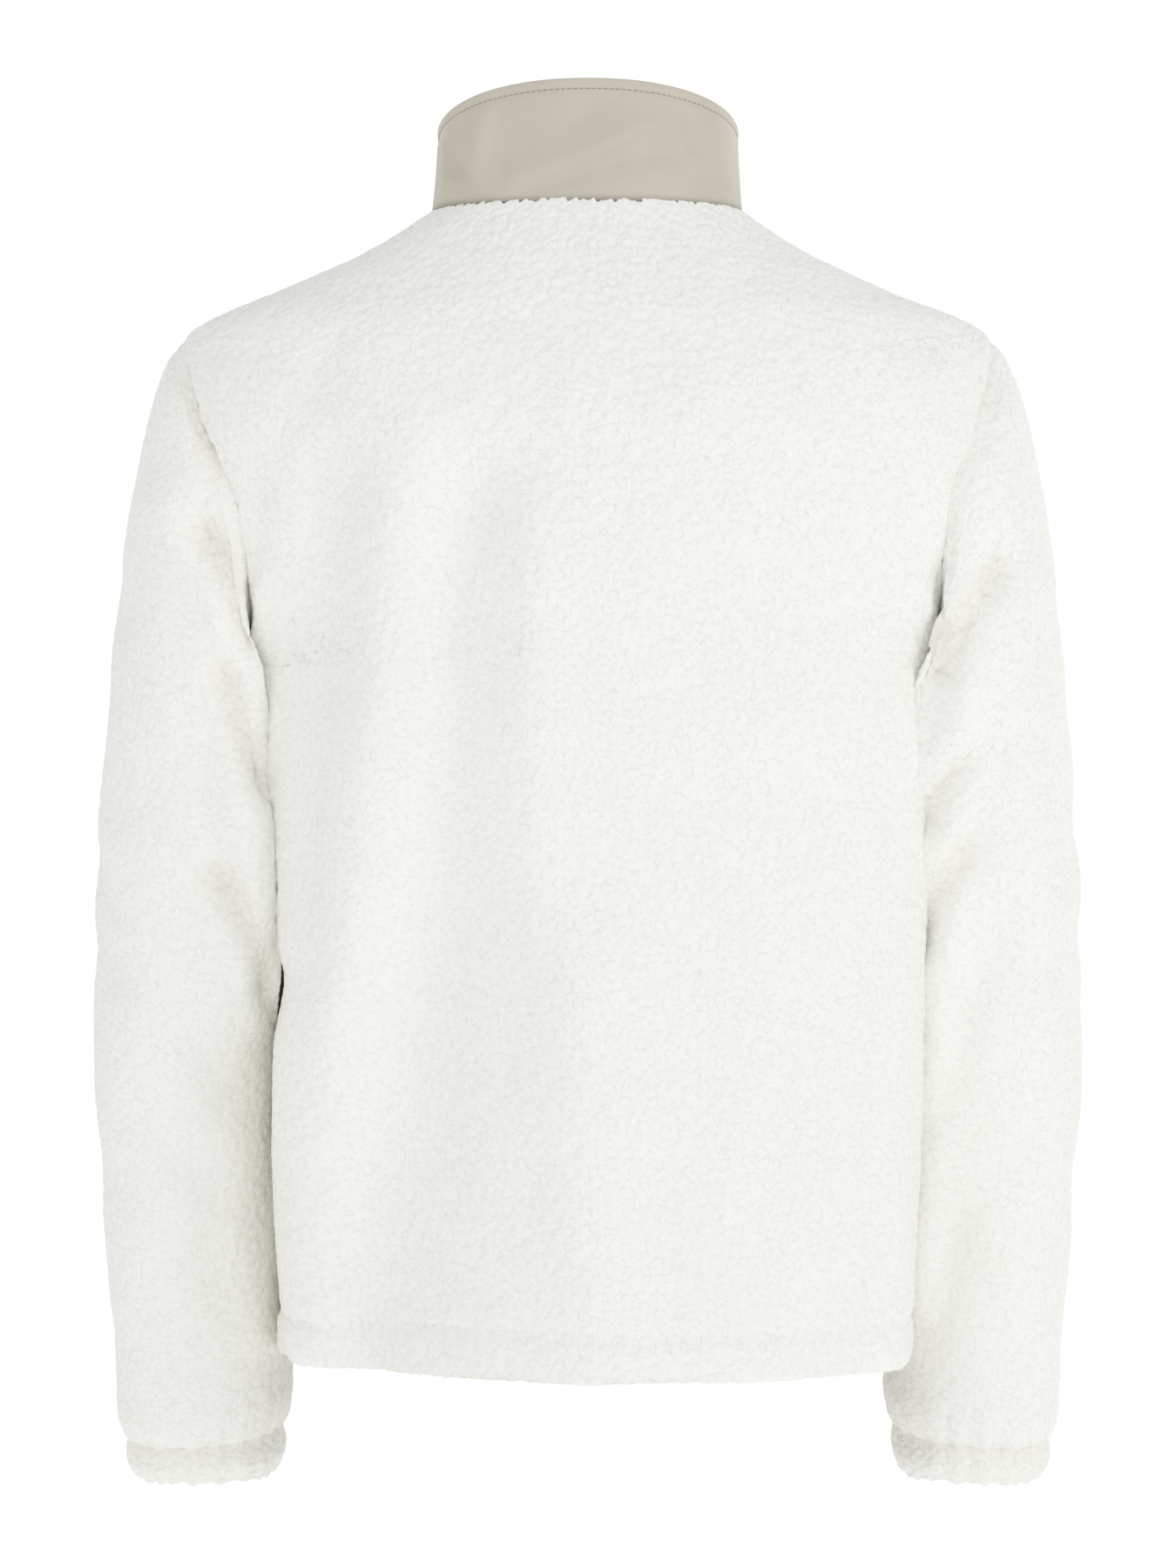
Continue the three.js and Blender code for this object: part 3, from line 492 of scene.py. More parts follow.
@dataclass
class Shell:
    """A wall of cloth between a fine outer face and a plainer inner one, with rounded edges."""

    outer: Array
    inner: Array
    closed: bool
    rim: Rim
    rest: Array
    lift: Array  # how far the pile may lift the outer face, as a share
    hollow: Array  # how much painted shade darkens each point, in a fold, seam or gap, as a share
    rim_steps: int = 3
    pile_inside: float = 0.0
    ragged: float = 0.0  # how uneven the edge is, as a share of its rim
    furry_rim: float = 1.0  # a rim that stands out further than this has pile on it
    most_uneven: float = 2.0

    def _loops(self, grid: Array) -> list[Array]:
        """The entries of a grid along its open edges, each a closed loop."""
        return [grid[0], grid[-1]] if self.closed else [edge_loop(grid)]

    def _rims(self) -> list[tuple[Array, Array]]:
        """The way out of the cloth's edge.

        Returns:
            For each edge loop, the way out at each point and how far the rim goes that way.
        """
        step_low, step_high = self.outer[0] - self.outer[1], self.outer[-1] - self.outer[-2]
        if self.closed:
            ways = [step_low, step_high]
            reaches = [np.full(len(way), reach)
                       for way, reach in zip(ways, (self.rim.low, self.rim.high))]
        else:
            step_first = self.outer[:, 0] - self.outer[:, 1]
            step_last = self.outer[:, -1] - self.outer[:, -2]
            ways = [np.concatenate([
                step_low[:-1], step_last[:-1], step_high[:0:-1], step_first[:0:-1],
            ])]
            rows, columns = self.outer.shape[0] - 1, self.outer.shape[1] - 1
            reaches = [np.repeat([self.rim.low, self.rim.last, self.rim.high, self.rim.first],
                                 [columns, rows, columns, rows])]
        return [(unit(way), reach) for way, reach in zip(ways, reaches)]

    def build(self, name: str) -> Object:
        """Makes the mesh and its attributes.

        Args:
            name: the new object's name.

        Returns:
            The object, linked to the scene.
        """
        skin = Skin()
        index = skin.add(self.outer, self.rest, self.lift, self.hollow, 1.0)
        plainer = np.s_[::COARSE, ::COARSE]
        inner_index = skin.add(self.inner[plainer], self.rest[plainer], 0.0, 0.0,
                               self.pile_inside)
        faces = [grid_quads(index, self.closed),
                 grid_quads(inner_index, self.closed)[:, [0, 3, 2, 1]]]
        polygons: list[list[int]] = []
        uneven = np.random.default_rng(self.outer.size)
        for k, (way, reach) in enumerate(self._rims()):
            tufts = uneven.normal(size=len(way))
            tufts = (np.roll(tufts, 1) + 1.6 * tufts + np.roll(tufts, -1)) / 2.1
            tufts = self.ragged * np.clip(tufts, -self.most_uneven, self.most_uneven)
            outside, inside, rest, lift = (
                self._loops(grid)[k]
                for grid in (self.outer, self.inner, self.rest, self.lift)
            )
            furry = reach > self.furry_rim
            previous = self._loops(index)[k]
            for step in range(1, self.rim_steps + 1):
                t = step / (self.rim_steps + 1)
                across = mix(outside, inside, (1 - math.cos(math.pi * t)) / 2)
                stand = reach * (1 + tufts * (1 - t) * 4 / 3) * math.sin(math.pi * t)
                loop = across + way * stand[:, None]
                ring = skin.add(loop, rest + (loop - outside), lift * furry * (1 - t), 0.0,
                                np.where(furry, 1.0, 1 - t))
                faces.append(self._strip(previous, ring, k))
                previous = ring
            polygons += self._fan(previous, self._loops(inner_index)[k], k)
        return self._mesh(name, skin, np.concatenate(faces), polygons)

    def _strip(self, a: Array, b: Array, which: int) -> Array:
        """Quads between two loops of the same length."""
        quads = np.stack([a, b, np.roll(b, -1), np.roll(a, -1)], axis=1)
        return quads[:, ::-1] if self.closed and which == 1 else quads

    def _fan(self, fine: Array, plain: Array, which: int) -> list[list[int]]:
        """Joins the rim to the inner face.

        Args:
            fine: the rim's last loop.
            plain: the inner face's plainer loop.
            which: the number of the edge.

        Returns:
            Polygons between the two loops.
        """
        found = []
        size, count = len(fine), len(plain)
        for m in range(count):
            a = [int(fine[(m * COARSE + q) % size]) for q in range(COARSE + 1)]
            polygon = a[::-1] + [int(plain[m]), int(plain[(m + 1) % count])]
            found.append(polygon[::-1] if self.closed and which == 1 else polygon)
        return found

    @staticmethod
    def _mesh(name: str, skin: Skin, quads: Array, polygons: list[list[int]]) -> Object:
        """Makes the wall one mesh, in metres and facing out.

        Args:
            name: the new object's name.
            skin: its vertices.
            quads: its faces with four corners.
            polygons: its other faces.

        Returns:
            The object.
        """
        vertices, rest, lift, hollow, pile = np.split(np.concatenate(skin.rows), (3, 6, 7, 8), 1)
        if signed_volume(vertices, quads) < 0:
            quads = quads[:, ::-1]
            polygons = [p[::-1] for p in polygons]
        mesh = mesh_from(name, vertices, quads, polygons)
        add_attribute(mesh, "rest_mm", rest)
        # The painted shade mask is stored with the pile's lift and its mask.
        for key, values in (("lift", lift), ("hollow", hollow), ("pile", pile)):
            add_attribute(mesh, key, values[:, 0])
        return link(name, mesh)


def signed_volume(vertices: Array, quads: Array) -> float:
    """The volume inside quads that face out, or less than 0 if they face in.

    Args:
        vertices: the points.
        quads: four corners a row.

    Returns:
        The volume.
    """
    a, b, c, d = (vertices[quads[:, k]] for k in range(4))
    first = np.einsum("ij,ij->i", a, np.cross(b, c))
    second = np.einsum("ij,ij->i", a, np.cross(c, d))
    return float((first + second).sum()) / 6


def mesh_from(name: str, vertices: Array, quads: Array,
              polygons: list[list[int]] = ()) -> bpy.types.Mesh:
    """Makes a smooth-shaded mesh.

    Args:
        name: the mesh's name.
        vertices: their places in millimetres.
        quads: four corners a row.
        polygons: faces with any number of corners.

    Returns:
        The mesh, in metres.
    """
    mesh = bpy.data.meshes.new(name)
    corners = np.concatenate([quads.ravel(), np.array([i for p in polygons for i in p], int)])
    sizes = np.concatenate([np.full(len(quads), 4), np.array([len(p) for p in polygons], int)])
    starts = np.concatenate([[0], np.cumsum(sizes)[:-1]])
    mesh.vertices.add(len(vertices))
    mesh.vertices.foreach_set("co", (vertices * MM).astype(np.float32).ravel())
    mesh.loops.add(len(corners))
    mesh.loops.foreach_set("vertex_index", corners.astype(np.int32))
    mesh.polygons.add(len(sizes))
    mesh.polygons.foreach_set("loop_start", starts.astype(np.int32))
    mesh.polygons.foreach_set("use_smooth", np.ones(len(sizes), bool))
    mesh.update(calc_edges=True)
    mesh.validate()
    return mesh


def add_attribute(mesh: bpy.types.Mesh, name: str, values: Array) -> None:
    """Gives each vertex of a mesh a number or a vector.

    Args:
        mesh: the mesh.
        name: the attribute's name.
        values: a number or a row for each.
    """
    vector = values.ndim == 2
    made = mesh.attributes.new(name, "FLOAT_VECTOR" if vector else "FLOAT", "POINT")
    made.data.foreach_set("vector" if vector else "value", values.astype(np.float32).ravel())


def link(name: str, mesh: bpy.types.Mesh) -> Object:
    """Puts a mesh in the scene.

    Args:
        name: the new object's name.
        mesh: its mesh.

    Returns:
        The object.
    """
    piece = bpy.data.objects.new(name, mesh)
    bpy.context.scene.collection.objects.link(piece)
    return piece


# ---------------------------------------------------------------- finishes
def add_node(tree: Tree, kind: str, values: dict | None = None,
             **settings: object) -> bpy.types.Node:
    """Adds a node.

    Args:
        tree: where it goes.
        kind: its type.
        values: what its sockets hold or are linked from, by name or number.
        settings: its own properties.

    Returns:
        The node.
    """
    node = tree.nodes.new(kind)
    for name, value in settings.items():
        setattr(node, name, value)
    for key, value in (values or {}).items():
        if isinstance(value, Socket):
            tree.links.new(value, node.inputs[key])
        else:
            node.inputs[key].default_value = value
    return node


def math_node(tree: Tree, operation: str, *values: object, clamp: bool = False) -> Socket:
    """Adds a Math node and returns what it puts out.

    Args:
        tree: where it goes.
        operation: what it works out.
        values: what its sockets hold or are linked from.
        clamp: whether the result is kept from 0 to 1.

    Returns:
        The result.
    """
    node = add_node(tree, "ShaderNodeMath", dict(enumerate(values)), operation=operation)
    node.use_clamp = clamp
    return node.outputs[0]


def times(tree: Tree, *values: object) -> Socket:
    """The product of two values."""
    return math_node(tree, "MULTIPLY", *values)


def plus(tree: Tree, *values: object) -> Socket:
    """The sum of two values."""
    return math_node(tree, "ADD", *values)


def minus(tree: Tree, *values: object) -> Socket:
    """The first value without the second."""
    return math_node(tree, "SUBTRACT", *values)


def vector_node(tree: Tree, operation: str, *values: object) -> Socket:
    """Adds a Vector Math node and returns the vector it puts out."""
    keys = {3 if operation == "SCALE" and k == 1 else k: v for k, v in enumerate(values)}
    return add_node(tree, "ShaderNodeVectorMath", keys, operation=operation).outputs[0]


def noise_node(tree: Tree, at: Socket, size: float, detail: float = 1.0,
               roughness: float = 0.5) -> bpy.types.Node:
    """Adds a Noise node whose features are about a size across, in millimetres."""
    values = {"Vector": at, "Scale": 1 / size, "Detail": detail, "Roughness": roughness}
    return add_node(tree, "ShaderNodeTexNoise", values, noise_dimensions="3D")


def range_node(tree: Tree, value: Socket, low: float, high: float, to_low: float = 0.0,
               to_high: float = 1.0) -> Socket:
    """Adds a clamped, smooth Map Range node and returns what it puts out."""
    values = dict(enumerate((value, low, high, to_low, to_high)))
    return add_node(tree, "ShaderNodeMapRange", values, interpolation_type="SMOOTHSTEP").outputs[0]


def colour_mix(tree: Tree, share: object, a: object, b: object) -> Socket:
    """Adds a Mix node for colours and returns what it puts out."""
    return add_node(tree, "ShaderNodeMix", {0: share, 6: a, 7: b}, data_type="RGBA").outputs[2]


@dataclass(frozen=True)
class Pile:
    """The curly pile: clumps with creases between them, and smaller curls on each clump.

    The same nodes make its height in the mesh and in the material, so the two agree.
    """

    clump: float = 4.6
    curl: float = 2.2
    sway: float = 1.9
    sway_size: float = 5.0
    curl_share: float = 0.3
    scatter: float = 0.9  # how unevenly the clumps lie
    crease_edge: Pair = (0.02, 0.14)
    crease_patch: float = 3.2
    crease_open: Pair = (0.44, 0.6)

    def wire(self, tree: Tree, at: Socket) -> tuple[Socket, Socket]:
        """Adds the nodes of the pile's height.

        Args:
            tree: where they go.
            at: the point on the cloth, in millimetres.

        Returns:
            The height from 0 to 1, and the swayed point that the clumps are made at.
        """
        drift = noise_node(tree, at, self.sway_size, detail=1.5).outputs["Color"]
        drift = vector_node(tree, "SUBTRACT", drift, (0.5, 0.5, 0.5))
        swayed = vector_node(tree, "ADD", at, vector_node(tree, "SCALE", drift, 2 * self.sway))
        clump = add_node(tree, "ShaderNodeTexVoronoi", {
            "Vector": swayed, "Scale": 1 / self.clump, "Randomness": self.scatter,
        }, feature="F1").outputs["Distance"]
        curl = add_node(tree, "ShaderNodeTexVoronoi", {
            "Vector": swayed, "Scale": 1 / self.curl, "Randomness": 1.0,
        }, feature="F1").outputs["Distance"]
        dome = math_node(tree, "SUBTRACT", 1.0, math_node(tree, "POWER", clump, 2.0), clamp=True)
        small = math_node(tree, "SUBTRACT", 1.0, math_node(tree, "POWER", curl, 2.0), clamp=True)
        height = plus(tree, times(tree, dome, 1 - self.curl_share),
                      times(tree, small, self.curl_share))
        return height, swayed

    def creases(self, tree: Tree, swayed: Socket, at: Socket) -> Socket:
        """Adds the nodes of the thin creases, which open only here and there.

        Args:
            tree: where they go.
            swayed: the point that the clumps are made at.
            at: the point on the cloth.

        Returns:
            A mask that is 1 in a crease.
        """
        edge = add_node(tree, "ShaderNodeTexVoronoi", {
            "Vector": swayed, "Scale": 1 / self.clump, "Randomness": self.scatter,
        }, feature="DISTANCE_TO_EDGE").outputs["Distance"]
        line = range_node(tree, edge, *self.crease_edge, 1.0, 0.0)
        some = noise_node(tree, at, self.crease_patch).outputs[0]
        return times(tree, line, range_node(tree, some, *self.crease_open))


PILE = Pile()


class PileRelief:
    """Lifts the outer face of the fleece into clumps, with the same nodes as its material."""

    def __init__(self, depth: float = 1.7, middle: float = 0.7, lumps: float = 1.3,
                 lump_size: float = 46.0) -> None:
        """Makes the node group.

        Args:
            depth: from the creases to the tops of the clumps.
            middle: the height of pile that stays where the cloth's face is.
            lumps: how uneven the cloth is besides.
            lump_size: how wide that unevenness is.
        """
        tree = bpy.data.node_groups.new("pile_relief", "GeometryNodeTree")
        tree.interface.new_socket("Geometry", in_out="INPUT", socket_type="NodeSocketGeometry")
        tree.interface.new_socket("Geometry", in_out="OUTPUT", socket_type="NodeSocketGeometry")
        given = tree.nodes.new("NodeGroupInput")
        at = self._attribute(tree, "FLOAT_VECTOR", "rest_mm")
        share = self._attribute(tree, "FLOAT", "lift")
        height, _ = PILE.wire(tree, at)
        pile = times(tree, minus(tree, height, middle), depth)
        lump = noise_node(tree, at, lump_size).outputs[0]
        lump = times(tree, minus(tree, lump, 0.5), 2 * lumps)
        total = times(tree, plus(tree, pile, lump), share)
        normal = tree.nodes.new("GeometryNodeInputNormal")
        offset = vector_node(tree, "SCALE", normal.outputs[0], times(tree, total, MM))
        moved = add_node(tree, "GeometryNodeSetPosition", {
            "Geometry": given.outputs[0], "Offset": offset,
        })
        out = tree.nodes.new("NodeGroupOutput")
        tree.links.new(moved.outputs[0], out.inputs[0])
        self.tree = tree

    @staticmethod
    def _attribute(tree: Tree, kind: str, name: str) -> Socket:
        """Reads a named attribute in geometry nodes.

        Args:
            tree: where the node goes.
            kind: the attribute's data type.
            name: its name.

        Returns:
            What it reads.
        """
        node = tree.nodes.new("GeometryNodeInputNamedAttribute")
        node.data_type = kind
        node.inputs["Name"].default_value = name
        return node.outputs["Attribute"]

    def apply(self, piece: Object) -> None:
        """Lifts a piece's mesh, keeps its cut edges crisp and leaves no modifier on it.

        Args:
            piece: the piece, which gets a new mesh.
        """
        modifier = piece.modifiers.new("pile", "NODES")
        modifier.node_group = self.tree
        graph = bpy.context.evaluated_depsgraph_get()
        made = bpy.data.meshes.new_from_object(piece.evaluated_get(graph))
        piece.modifiers.clear()
        old = piece.data
        piece.data = made
        bpy.data.meshes.remove(old)
        made.name = piece.name
        made.set_sharp_from_angle(angle=CUT_EDGE)


class Finish:
    """A material with a Principled shader."""

    def __init__(self, name: str, **values: object) -> None:
        """Makes the material.

        Args:
            name: its name.
            values: the shader's sockets that are the same all over, with _ for a space.
        """
        self.material = bpy.data.materials.new(name)
        self.material.use_nodes = True
        self.tree = self.material.node_tree
        self.shader = self.tree.nodes["Principled BSDF"]
        for key, value in values.items():
            self.shader.inputs[key.replace("_", " ")].default_value = value

    def attribute(self, name: str, output: str = "Fac") -> Socket:
        """Reads one of the mesh's attributes."""
        return add_node(self.tree, "ShaderNodeAttribute", attribute_name=name).outputs[output]

    def link(self, socket: Socket, key: str) -> None:
        """Feeds one of the shader's sockets."""
        self.tree.links.new(socket, self.shader.inputs[key])

    def bump(self, height: Socket, strength: float) -> Socket:
        """Adds a Bump node for a height in millimetres and returns its normal."""
        values = {"Strength": strength, "Distance": MM, "Height": height}
        return add_node(self.tree, "ShaderNodeBump", values).outputs[0]


class PileGroup:
    """The shader node group that colours the pile, painted shade included, and gives its height.
    """

    patch: float = 42.0  # how wide the creamier patches are
    patch_share: float = 0.1
    # how dark the painted shade in the creases between the clumps is
    painted_crease_shade: float = 0.05
    painted_shade_shares: Pair = (1.35, 0.65)  # how strong the painted shade is between the curls, and on their tops
    fibre: float = 0.9
    pile_relief: float = 1.3
    fibre_relief: float = 0.3
    crease_relief: float = 0.5
    knit_relief: float = 0.2

    def __init__(self) -> None:
        """Builds the group."""
        self.tree = bpy.data.node_groups.new("sherpa_surface", "ShaderNodeTree")
        for name, kind in (
            ("At", "NodeSocketVector"), ("Pile", "NodeSocketFloat"), ("Hollow", "NodeSocketFloat"),
            ("Cream share", "NodeSocketFloat"), ("Pile colour", "NodeSocketColor"),
            ("Cream colour", "NodeSocketColor"), ("Deep colour", "NodeSocketColor"),
            ("Backing colour", "NodeSocketColor"),
        ):
            self.tree.interface.new_socket(name, in_out="INPUT", socket_type=kind)
        self.tree.interface.new_socket("Colour", in_out="OUTPUT", socket_type="NodeSocketColor")
        self.tree.interface.new_socket("Height", in_out="OUTPUT", socket_type="NodeSocketFloat")
        given = self.tree.nodes.new("NodeGroupInput").outputs
        out = self.tree.nodes.new("NodeGroupOutput").inputs
        height, swayed = PILE.wire(self.tree, given["At"])
        crease = PILE.creases(self.tree, swayed, given["At"])
        self.tree.links.new(self._colour(given, height, crease), out["Colour"])
        self.tree.links.new(self._height(given, height, crease), out["Height"])

    def _colour(self, given: bpy.types.bpy_prop_collection, height: Socket,
                crease: Socket) -> Socket:
        """The colour: creamier in soft patches, with painted shade in the creases and the hollows.

        Args:
            given: the group's inputs.
            height: the pile's height from 0 to 1.
            crease: 1 in a crease.

        Returns:
            The colour.
        """
        tree = self.tree
        tone = noise_node(tree, given["At"], self.patch, detail=2.0).outputs[0]
        tone = times(tree, range_node(tree, tone, 0.35, 0.65), self.patch_share)
        tone = plus(tree, tone, given["Cream share"])
        lit = colour_mix(tree, tone, given["Pile colour"], given["Cream colour"])
        # Painted shade in the creases between the clumps.
        dark = times(tree, crease, self.painted_crease_shade)
        lit = colour_mix(tree, dark, lit, given["Deep colour"])
        colour = colour_mix(tree, given["Pile"], given["Backing colour"], lit)
        # Painted shade where the mesh marks a fold, seam or gap, stronger between the curls.
        low = range_node(tree, height, 0.45, 0.95, *self.painted_shade_shares)
        return colour_mix(tree, times(tree, given["Hollow"], low), colour, given["Deep colour"])

    def _height(self, given: bpy.types.bpy_prop_collection, height: Socket,
                crease: Socket) -> Socket:
        """The height in millimetres: of the pile outside and of the knitted backing inside.

        Args:
            given: the group's inputs.
            height: the pile's height from 0 to 1.
            crease: 1 in a crease.

        Returns:
            The height.
        """
        tree = self.tree
        fibre = noise_node(tree, given["At"], self.fibre, detail=2.0, roughness=0.6).outputs[0]
        relief = plus(tree, times(tree, height, self.pile_relief),
                      times(tree, fibre, self.fibre_relief))
        relief = minus(tree, relief, times(tree, crease, self.crease_relief))
        wave = add_node(tree, "ShaderNodeTexWave", {
            "Vector": given["At"], "Scale": 0.25, "Distortion": 0.6, "Detail": 1.0,
        }, wave_type="BANDS", bands_direction="X").outputs["Fac"]
        knit = times(tree, wave, self.knit_relief)
        return add_node(tree, "ShaderNodeMix", {0: given["Pile"], 2: knit, 3: relief},
                        data_type="FLOAT").outputs[0]


@dataclass(frozen=True)
class SherpaFinish:
    """Off-white curly pile outside, and its plain knitted backing inside."""

    name: str = "sherpa_pile"
    pile: Triple = (0.93, 0.932, 0.902)
    cream: Triple = (0.90, 0.875, 0.80)
    # The colour of the painted shade in the creases and the hollows.
    deep: Triple = (0.77, 0.712, 0.60)
    backing: Triple = (0.86, 0.845, 0.79)
    cream_share: float = 0.08
    roughness: float = 0.95
    sheen: float = 0.25
    sheen_tint: Triple = (1.0, 0.99, 0.96)
    bump: float = 0.45

    def make(self, group: PileGroup) -> Material:
        """Builds the material round the pile's node group.

        Args:
            group: the pile's node group.

        Returns:
            The material.
        """
        finish = Finish(self.name, Roughness=self.roughness, Sheen_Weight=self.sheen,
                        Sheen_Roughness=0.5, Specular_IOR_Level=0.1,
                        Sheen_Tint=(*self.sheen_tint, 1))
        surface = finish.tree.nodes.new("ShaderNodeGroup")
        surface.node_tree = group.tree
        for key, colour in (("Pile colour", self.pile), ("Cream colour", self.cream),
                            ("Deep colour", self.deep), ("Backing colour", self.backing)):
            surface.inputs[key].default_value = (*colour, 1)
        surface.inputs["Cream share"].default_value = self.cream_share
        # The mesh's painted shade mask goes in with its rest points and its pile mask.
        for key, name, output in (("At", "rest_mm", "Vector"), ("Pile", "pile", "Fac"),
                                  ("Hollow", "hollow", "Fac")):
            finish.tree.links.new(finish.attribute(name, output), surface.inputs[key])
        finish.link(surface.outputs["Colour"], "Base Color")
        finish.link(finish.bump(surface.outputs["Height"], self.bump), "Normal")
        return finish.material


@dataclass(frozen=True)
class WovenFinish:
    """Smooth stone-coloured woven cloth, or its thread."""

    name: str = "woven_collar"
    colour: Triple = (0.60, 0.565, 0.475)
    dark: Triple = (0.50, 0.475, 0.40)
    dark_share: float = 0.35
    seam_shade: float = 0.35  # how bright the cloth is at a seam, as a share
    roughness: float = 0.6
    thread_relief: float = 0.05
    slub: float = 9.0
    slub_relief: float = 0.12
    bump: float = 0.8

    def make(self) -> Material:
        """Builds the material.

        Returns:
            The material, ready for its pieces.
        """
        finish = Finish(self.name, Roughness=self.roughness, Specular_IOR_Level=0.35,
                        Sheen_Weight=0.15, Sheen_Roughness=0.4)
        tree = finish.tree
        at = finish.attribute("rest_mm", "Vector")
        threads = add_node(tree, "ShaderNodeTexNoise", {
            "Vector": vector_node(tree, "MULTIPLY", at, (1.0, 1.0, 4.0)),
            "Scale": 1.6, "Detail": 2.0,
        }).outputs[0]
        slub = noise_node(tree, at, self.slub, detail=3.0).outputs[0]
        relief = plus(tree, times(tree, threads, self.thread_relief),
                      times(tree, slub, self.slub_relief))
        finish.link(finish.bump(relief, self.bump), "Normal")
        tone = range_node(tree, noise_node(tree, at, 38.0, detail=2.0).outputs[0], 0.3, 0.7)
        cloth = colour_mix(tree, times(tree, tone, self.dark_share), (*self.colour, 1),
                           (*self.dark, 1))
        # Painted shade at the neck seam, where the mesh marks it.
        shade = tuple(self.seam_shade * part for part in self.dark)
        finish.link(colour_mix(tree, finish.attribute("hollow"), cloth, (*shade, 1)), "Base Color")
        return finish.material


@dataclass(frozen=True)
class TapeFinish:
    """The zip's woven tape, with fine ribs along it."""

    colour: Triple = (0.52, 0.485, 0.405)
    dark: Triple = (0.4, 0.37, 0.3)
    dark_share: float = 0.12
    rib_relief: float = 0.15
    bump: float = 0.8

    def make(self) -> Material:
        """Builds the material.

        Returns:
            The material, ready for its pieces.
        """
        finish = Finish("zip_tape", Roughness=0.8, Specular_IOR_Level=0.3, Sheen_Weight=0.1)
        tree = finish.tree
        at = finish.attribute("rest_mm", "Vector")
        ribs = add_node(tree, "ShaderNodeTexWave", {
            "Vector": at, "Scale": 0.28, "Distortion": 0.3,
        }, wave_type="BANDS", bands_direction="DIAGONAL").outputs["Fac"]
        relief = times(tree, ribs, self.rib_relief)
        finish.link(finish.bump(relief, self.bump), "Normal")
        shade = times(tree, ribs, self.dark_share)
        finish.link(colour_mix(tree, shade, (*self.colour, 1), (*self.dark, 1)), "Base Color")
        return finish.material


@dataclass(frozen=True)
class HardFinish:
    """The zip's moulded teeth or its painted metal."""

    name: str
    colour: Triple
    metallic: float
    roughness: float
    wear: Pair = (-0.06, 0.08)  # how much smoother or rougher it is in patches
    wear_size: float = 0.003  # in metres

    def make(self) -> Material:
        """Builds the material, a little rougher in patches.

        Returns:
            The material.
        """
        finish = Finish(self.name, Metallic=self.metallic, Specular_IOR_Level=0.5,
                        Base_Color=(*self.colour, 1))
        tree = finish.tree
        at = add_node(tree, "ShaderNodeTexCoord").outputs["Object"]
        wear = noise_node(tree, at, self.wear_size, detail=3.0).outputs[0]
        low, high = (self.roughness + change for change in self.wear)
        finish.link(range_node(tree, wear, 0.3, 0.7, low, high), "Roughness")
        return finish.material


# ---------------------------------------------------------------- the jacket's pieces
@dataclass(frozen=True)
class Cut:
    """The flat cloth of a piece, in metres and square metres."""

    width: float
    length: float
    area: float


def dress(piece: Object, nodes: tuple[str, ...], material: Material,
          body: str = CLOTH_BODY) -> Object:
    """Gives a piece its finish, sets it on its body and hides the solids that it replaces.

    Args:
        piece: the mesh.
        nodes: the solids that it replaces.
        material: its finish.
        body: the body that it moves with.

    Returns:
        The piece.
    """
    piece.data.materials.append(material)
    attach(piece, body)
    if nodes:
        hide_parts(*nodes)
    return piece


def copies(template: Array, quads: Array, places: Array, axes: Array) -> tuple[Array, Array]:
    """Sets copies of a small mesh in many places.

    Args:
        template: its vertices.
        quads: its faces.
        places: where each copy goes.
        axes: for each copy, the three directions that its own axes turn to.

    Returns:
        The vertices and faces of them all.
    """
    vertices = places[:, None] + np.einsum("vk,nkc->nvc", template, axes)
    steps = np.arange(len(places))[:, None, None] * len(template)
    return vertices.reshape(-1, 3), (quads[None] + steps).reshape(-1, 4)


def ringed(rings: Array) -> tuple[Array, Array]:
    """Closes rings of points, of an even count, into one solid with quads only.

    Args:
        rings: rings by points by 3.

    Returns:
        The solid's vertices and faces.
    """
    count, size = rings.shape[:2]
    index = np.arange(count * size).reshape(count, size)
    first, last = index[0], index[-1]
    caps = []
    for k in range(1, size // 2):
        far, next_far = size - k, (size - k + 1) % size
        caps.append([first[far], first[k], first[k - 1], first[next_far]])
        caps.append([last[k - 1], last[k], last[far], last[next_far]])
    return rings.reshape(-1, 3), np.concatenate([grid_quads(index, True), np.array(caps)])


def thread_line(name: str, lines: list[tuple[Array, Array]], length: float = 2.6,
                pitch: float = 3.4, radius: float = 0.27) -> Object:
    """Sews lines of stitches.

    Args:
        name: the new object's name.
        lines: for each line, its points and the way out of the cloth at each.
        length: of one stitch.
        pitch: from one stitch to the next.
        radius: of the thread.

    Returns:
        The stitches, as one object.
    """
    sides = 6
    turn = np.linspace(0, 2 * math.pi, sides, endpoint=False)
    rings = np.stack([
        np.stack([np.full(sides, share * length / 2), size * radius * np.cos(turn),
                  size * radius * np.sin(turn) + (size - 1) * radius], axis=1)
        for share, size in ((-1, 0.35), (-0.7, 0.95), (0.7, 0.95), (1, 0.35))
    ])
    template, quads = ringed(rings)
    places, axes = [], []
    for points, ways in lines:
        lengths = line_lengths(points)
        wanted = np.arange(pitch, lengths[-1] - pitch, pitch)
        place, out = read_line(wanted, lengths, points), read_line(wanted, lengths, ways)
        forward = unit(read_line(wanted + 1, lengths, points) - place)
        out = unit(out - forward * (out * forward).sum(axis=1, keepdims=True))
        places.append(place + out * THREAD_STAND)
        axes.append(np.stack([forward, np.cross(out, forward), out], axis=1))
    vertices, faces = copies(template, quads, np.concatenate(places), np.concatenate(axes))
    piece = link(name, mesh_from(name, vertices, faces))
    add_attribute(piece.data, "rest_mm", vertices)
    return piece


